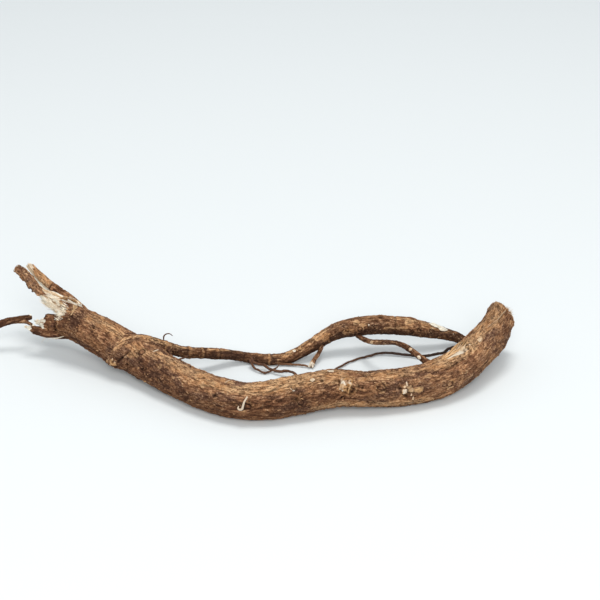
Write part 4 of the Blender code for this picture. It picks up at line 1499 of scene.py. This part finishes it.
# %% Fibres at the tips
def tip_fibres(name, route, seed, long, count=30):
    """Fibres at random places of a limb's broken tip, from a fifth of its radius out, that point
    along the limb and lean a little at random."""
    rng = np.random.default_rng(seed)
    s = route.length - 0.8
    angle = rng.uniform(0, 360, count)
    share = np.sqrt(rng.uniform(0.2**2, 1.0, count))
    rim = np.array([route.place(s, degrees, -0.2)[0] for degrees in angle])
    centre, along = (np.array([np.interp(s, route.s, table[:, axis]) for axis in range(3)])
                     for table in (route.centre, route.along))
    base = centre + share[:, None] * (rim - centre)
    toward = along + 0.15 * rng.normal(size=(count, 3))
    length, width = rng.uniform(0.4, 1.0, count) * long, rng.uniform(0.10, 0.24, count)
    fibres(name, base, toward, length, width, 0.15 * rng.normal(size=(count, 3)), seed + 1, tan=0.2)


tip_fibres("fibres_stub", stub_skin.route, 1120, 2.2)
tip_fibres("fibres_front_tip", front_skin.route, 1130, 1.0)
tip_fibres("fibres_back_tip", back_skin.route, 1140, 1.4)
tip_fibres("fibres_twig", twig_skin.route, 1150, 1.4)
fibres_on_limb("fibres_tear", main_route, 22, 1155, (251, 268), (320, 366), 0.10, (2.0, 6.0), (0.07, 0.14),
               tan=0.8)


# %% Fibres at the sawn end
def rim_fibres(name, skin, count, seed, degrees, length, width, tilt):
    """Fibres that start at random places of a skin's last full ring and lean outward at random."""
    rng = np.random.default_rng(seed)
    row, sides = skin.body()[-1], skin.turn.shape[1]
    column = (rng.uniform(*degrees, count) / 360 * sides).astype(int) % sides
    ring_points = skin.points()[row]
    along, out = skin.route.along[-1], ring_points[column] - ring_points.mean(0)
    out /= np.linalg.norm(out, axis=1)[:, None]
    base = ring_points[column] - 0.3 * along * rng.uniform(0, 1, (count, 1)) - 0.15 * out
    toward = along + tilt * out + 0.4 * rng.normal(size=(count, 3))
    fibres(name, base, toward, rng.uniform(*length, count), rng.uniform(*width, count),
           0.3 * rng.normal(size=(count, 3)), seed + 1, tan=0.7, material=OLD_WOOD)


rim_fibres("fibres_sawn_rim", main, 220, 1160, (0, 360), (0.4, 1.0), (0.07, 0.14), 0.2)
rim_fibres("fibres_sawn_corner", main, 60, 1170, (25, 70), (0.8, 2.4), (0.06, 0.12), 0.5)


# %% Loose flakes of cork
TAN_FLAKES = 0.28


def flakes(name, skin, count, seed, size, material):
    """Flat lenses that lie on a skin with one end raised. A lens is a ball squashed to the flake's
    length, width and thickness, and its frame is the skin's own: the steps to the next row and
    the next column, and the direction square to both."""
    rng = np.random.default_rng(seed)
    grid = skin.points()
    row, column = rng.choice(skin.body()[4:-4], count), rng.integers(0, grid.shape[1], count)
    keep = (skin.marks["wood"][row, column] < 0.3) & (grid[row, column, 2] > 1.0)
    row, column = row[keep], column[keep]
    along = grid[row + 1, column] - grid[row - 1, column]
    around = grid[row, (column + 1) % grid.shape[1]] - grid[row, column - 1]
    along /= np.linalg.norm(along, axis=1, keepdims=True)
    out = np.cross(around, along)
    out /= np.linalg.norm(out, axis=1, keepdims=True)
    yaw = rng.normal(0, 0.5, len(row))[:, None]
    heading = np.cos(yaw) * along + np.sin(yaw) * np.cross(out, along)
    tilt = rng.uniform(-0.35, 0.35, len(row))[:, None]
    heading, out = np.cos(tilt) * heading + np.sin(tilt) * out, np.cos(tilt) * out - np.sin(tilt) * heading
    across = np.cross(out, heading)
    rows, sides = 3, 6
    fall = (math.pi * (np.arange(rows) + 1) / (rows + 1))[:, None]
    turn = 2 * math.pi * np.arange(sides) / sides
    rings = np.stack([np.cos(fall) + 0 * turn, np.sin(fall) * np.cos(turn), np.sin(fall) * np.sin(turn)], -1)
    lens = np.vstack([(1, 0, 0), rings.reshape(-1, 3), (-1, 0, 0)])
    spans = [rng.uniform(least, most, len(row)) for least, most in ((0.6, 1.8), (0.3, 0.75), (0.10, 0.22))]
    local = lens[None] * (size * np.stack(spans, -1))[:, None]
    off = local[..., :1] * heading[:, None] + local[..., 1:2] * across[:, None]
    off += (local[..., 2:] + 0.08) * out[:, None]
    points = grid[row, column][:, None] + off
    even = np.ones(points.shape[:2])
    marks = {"grain": skin.grain[row, column][:, None] + local, "wood": 0 * even,
             "relief": even * rng.uniform(0.4, 0.95, (len(row), 1)), "dark": 0 * even, "stain_and_shade": 0 * even,
             "tan": even * (rng.uniform(0, 1, (len(row), 1)) > 1 - TAN_FLAKES)}
    copies(name, points, tube_faces(rows, sides), marks, material)


flakes("flakes_main", main, 900, 1200, 0.8, BARK)
flakes("flakes_lateral", lateral, 260, 1210, 0.5, THIN_BARK)
flakes("flakes_front", front_skin, 150, 1220, 0.75, BARK)
flakes("flakes_stub", stub_skin, 60, 1230, 0.6, BARK)

# %% [markdown]
# ## Camera, table and light
#
# The root lies on a white table in a bright room. One large soft lamp hangs over it and one stands
# behind the camera, so the upper side is lightest, the front is lit evenly, and the shadows on the
# table have no edges.

# %% Camera
TARGET = Vector((0.031, 0.096, 0.0))
DISTANCE, ELEVATION = 1.0, math.radians(27.0)
LENS, SENSOR, FAR = 94.0, 36.0, 50.0
camera_data = bpy.data.cameras.new("camera")
camera_data.lens, camera_data.sensor_width, camera_data.clip_end = LENS, SENSOR, FAR
camera = bpy.data.objects.new("camera", camera_data)
camera.location = TARGET + DISTANCE * Vector((0, -math.cos(ELEVATION), math.sin(ELEVATION)))
camera.rotation_euler = (TARGET - camera.location).to_track_quat("-Z", "Y").to_euler()
bpy.context.scene.collection.objects.link(camera)
bpy.context.scene.camera = camera
print("the camera stands at", [round(c, 3) for c in camera.location])

# %% Table
TABLE_SIZE = 20.0
TABLE_WHITE = (0.64, 0.67, 0.68, 1.0)
table_sheet = Sheet("table_white", Roughness=0.55, Specular_IOR_Level=0.3)
table_sheet.shader.inputs["Base Color"].default_value = TABLE_WHITE
half = TABLE_SIZE / 2
corners = [(-half, -half, 0), (half, -half, 0), (half, half, 0), (-half, half, 0)]
table_mesh = bpy.data.meshes.new("table")
table_mesh.from_pydata(corners, [], [(0, 1, 2, 3)])
table_mesh.materials.append(table_sheet.material)
table = bpy.data.objects.new("table", table_mesh)
bpy.context.scene.collection.objects.link(table)

# %% Light
LAMP_WHITE, ROOM_WHITE = (1.0, 0.985, 0.96), (0.93, 0.97, 1.0, 1.0)
ROOM_STRENGTH = 0.68


def soft_lamp(name, place, size, power):
    """A square area lamp at a place, turned to face the middle of the root."""
    lamp = bpy.data.lights.new(name, "AREA")
    lamp.size, lamp.energy, lamp.color = size, power, LAMP_WHITE
    holder = bpy.data.objects.new(name, lamp)
    holder.location = place
    holder.rotation_euler = (-Vector(place)).to_track_quat("-Z", "Y").to_euler()
    bpy.context.scene.collection.objects.link(holder)


soft_lamp("overhead_softbox", place=(0.1, 0.22, 1.98), size=0.8, power=21.0)
soft_lamp("front_softbox", place=(0.1, -1.5, 1.1), size=1.0, power=23.0)
world = bpy.data.worlds.new("bright_room")
world.use_nodes = True
background = world.node_tree.nodes["Background"].inputs
background["Color"].default_value = ROOM_WHITE
background["Strength"].default_value = ROOM_STRENGTH
bpy.context.scene.world = world
bpy.context.scene.view_settings.view_transform = "Standard"
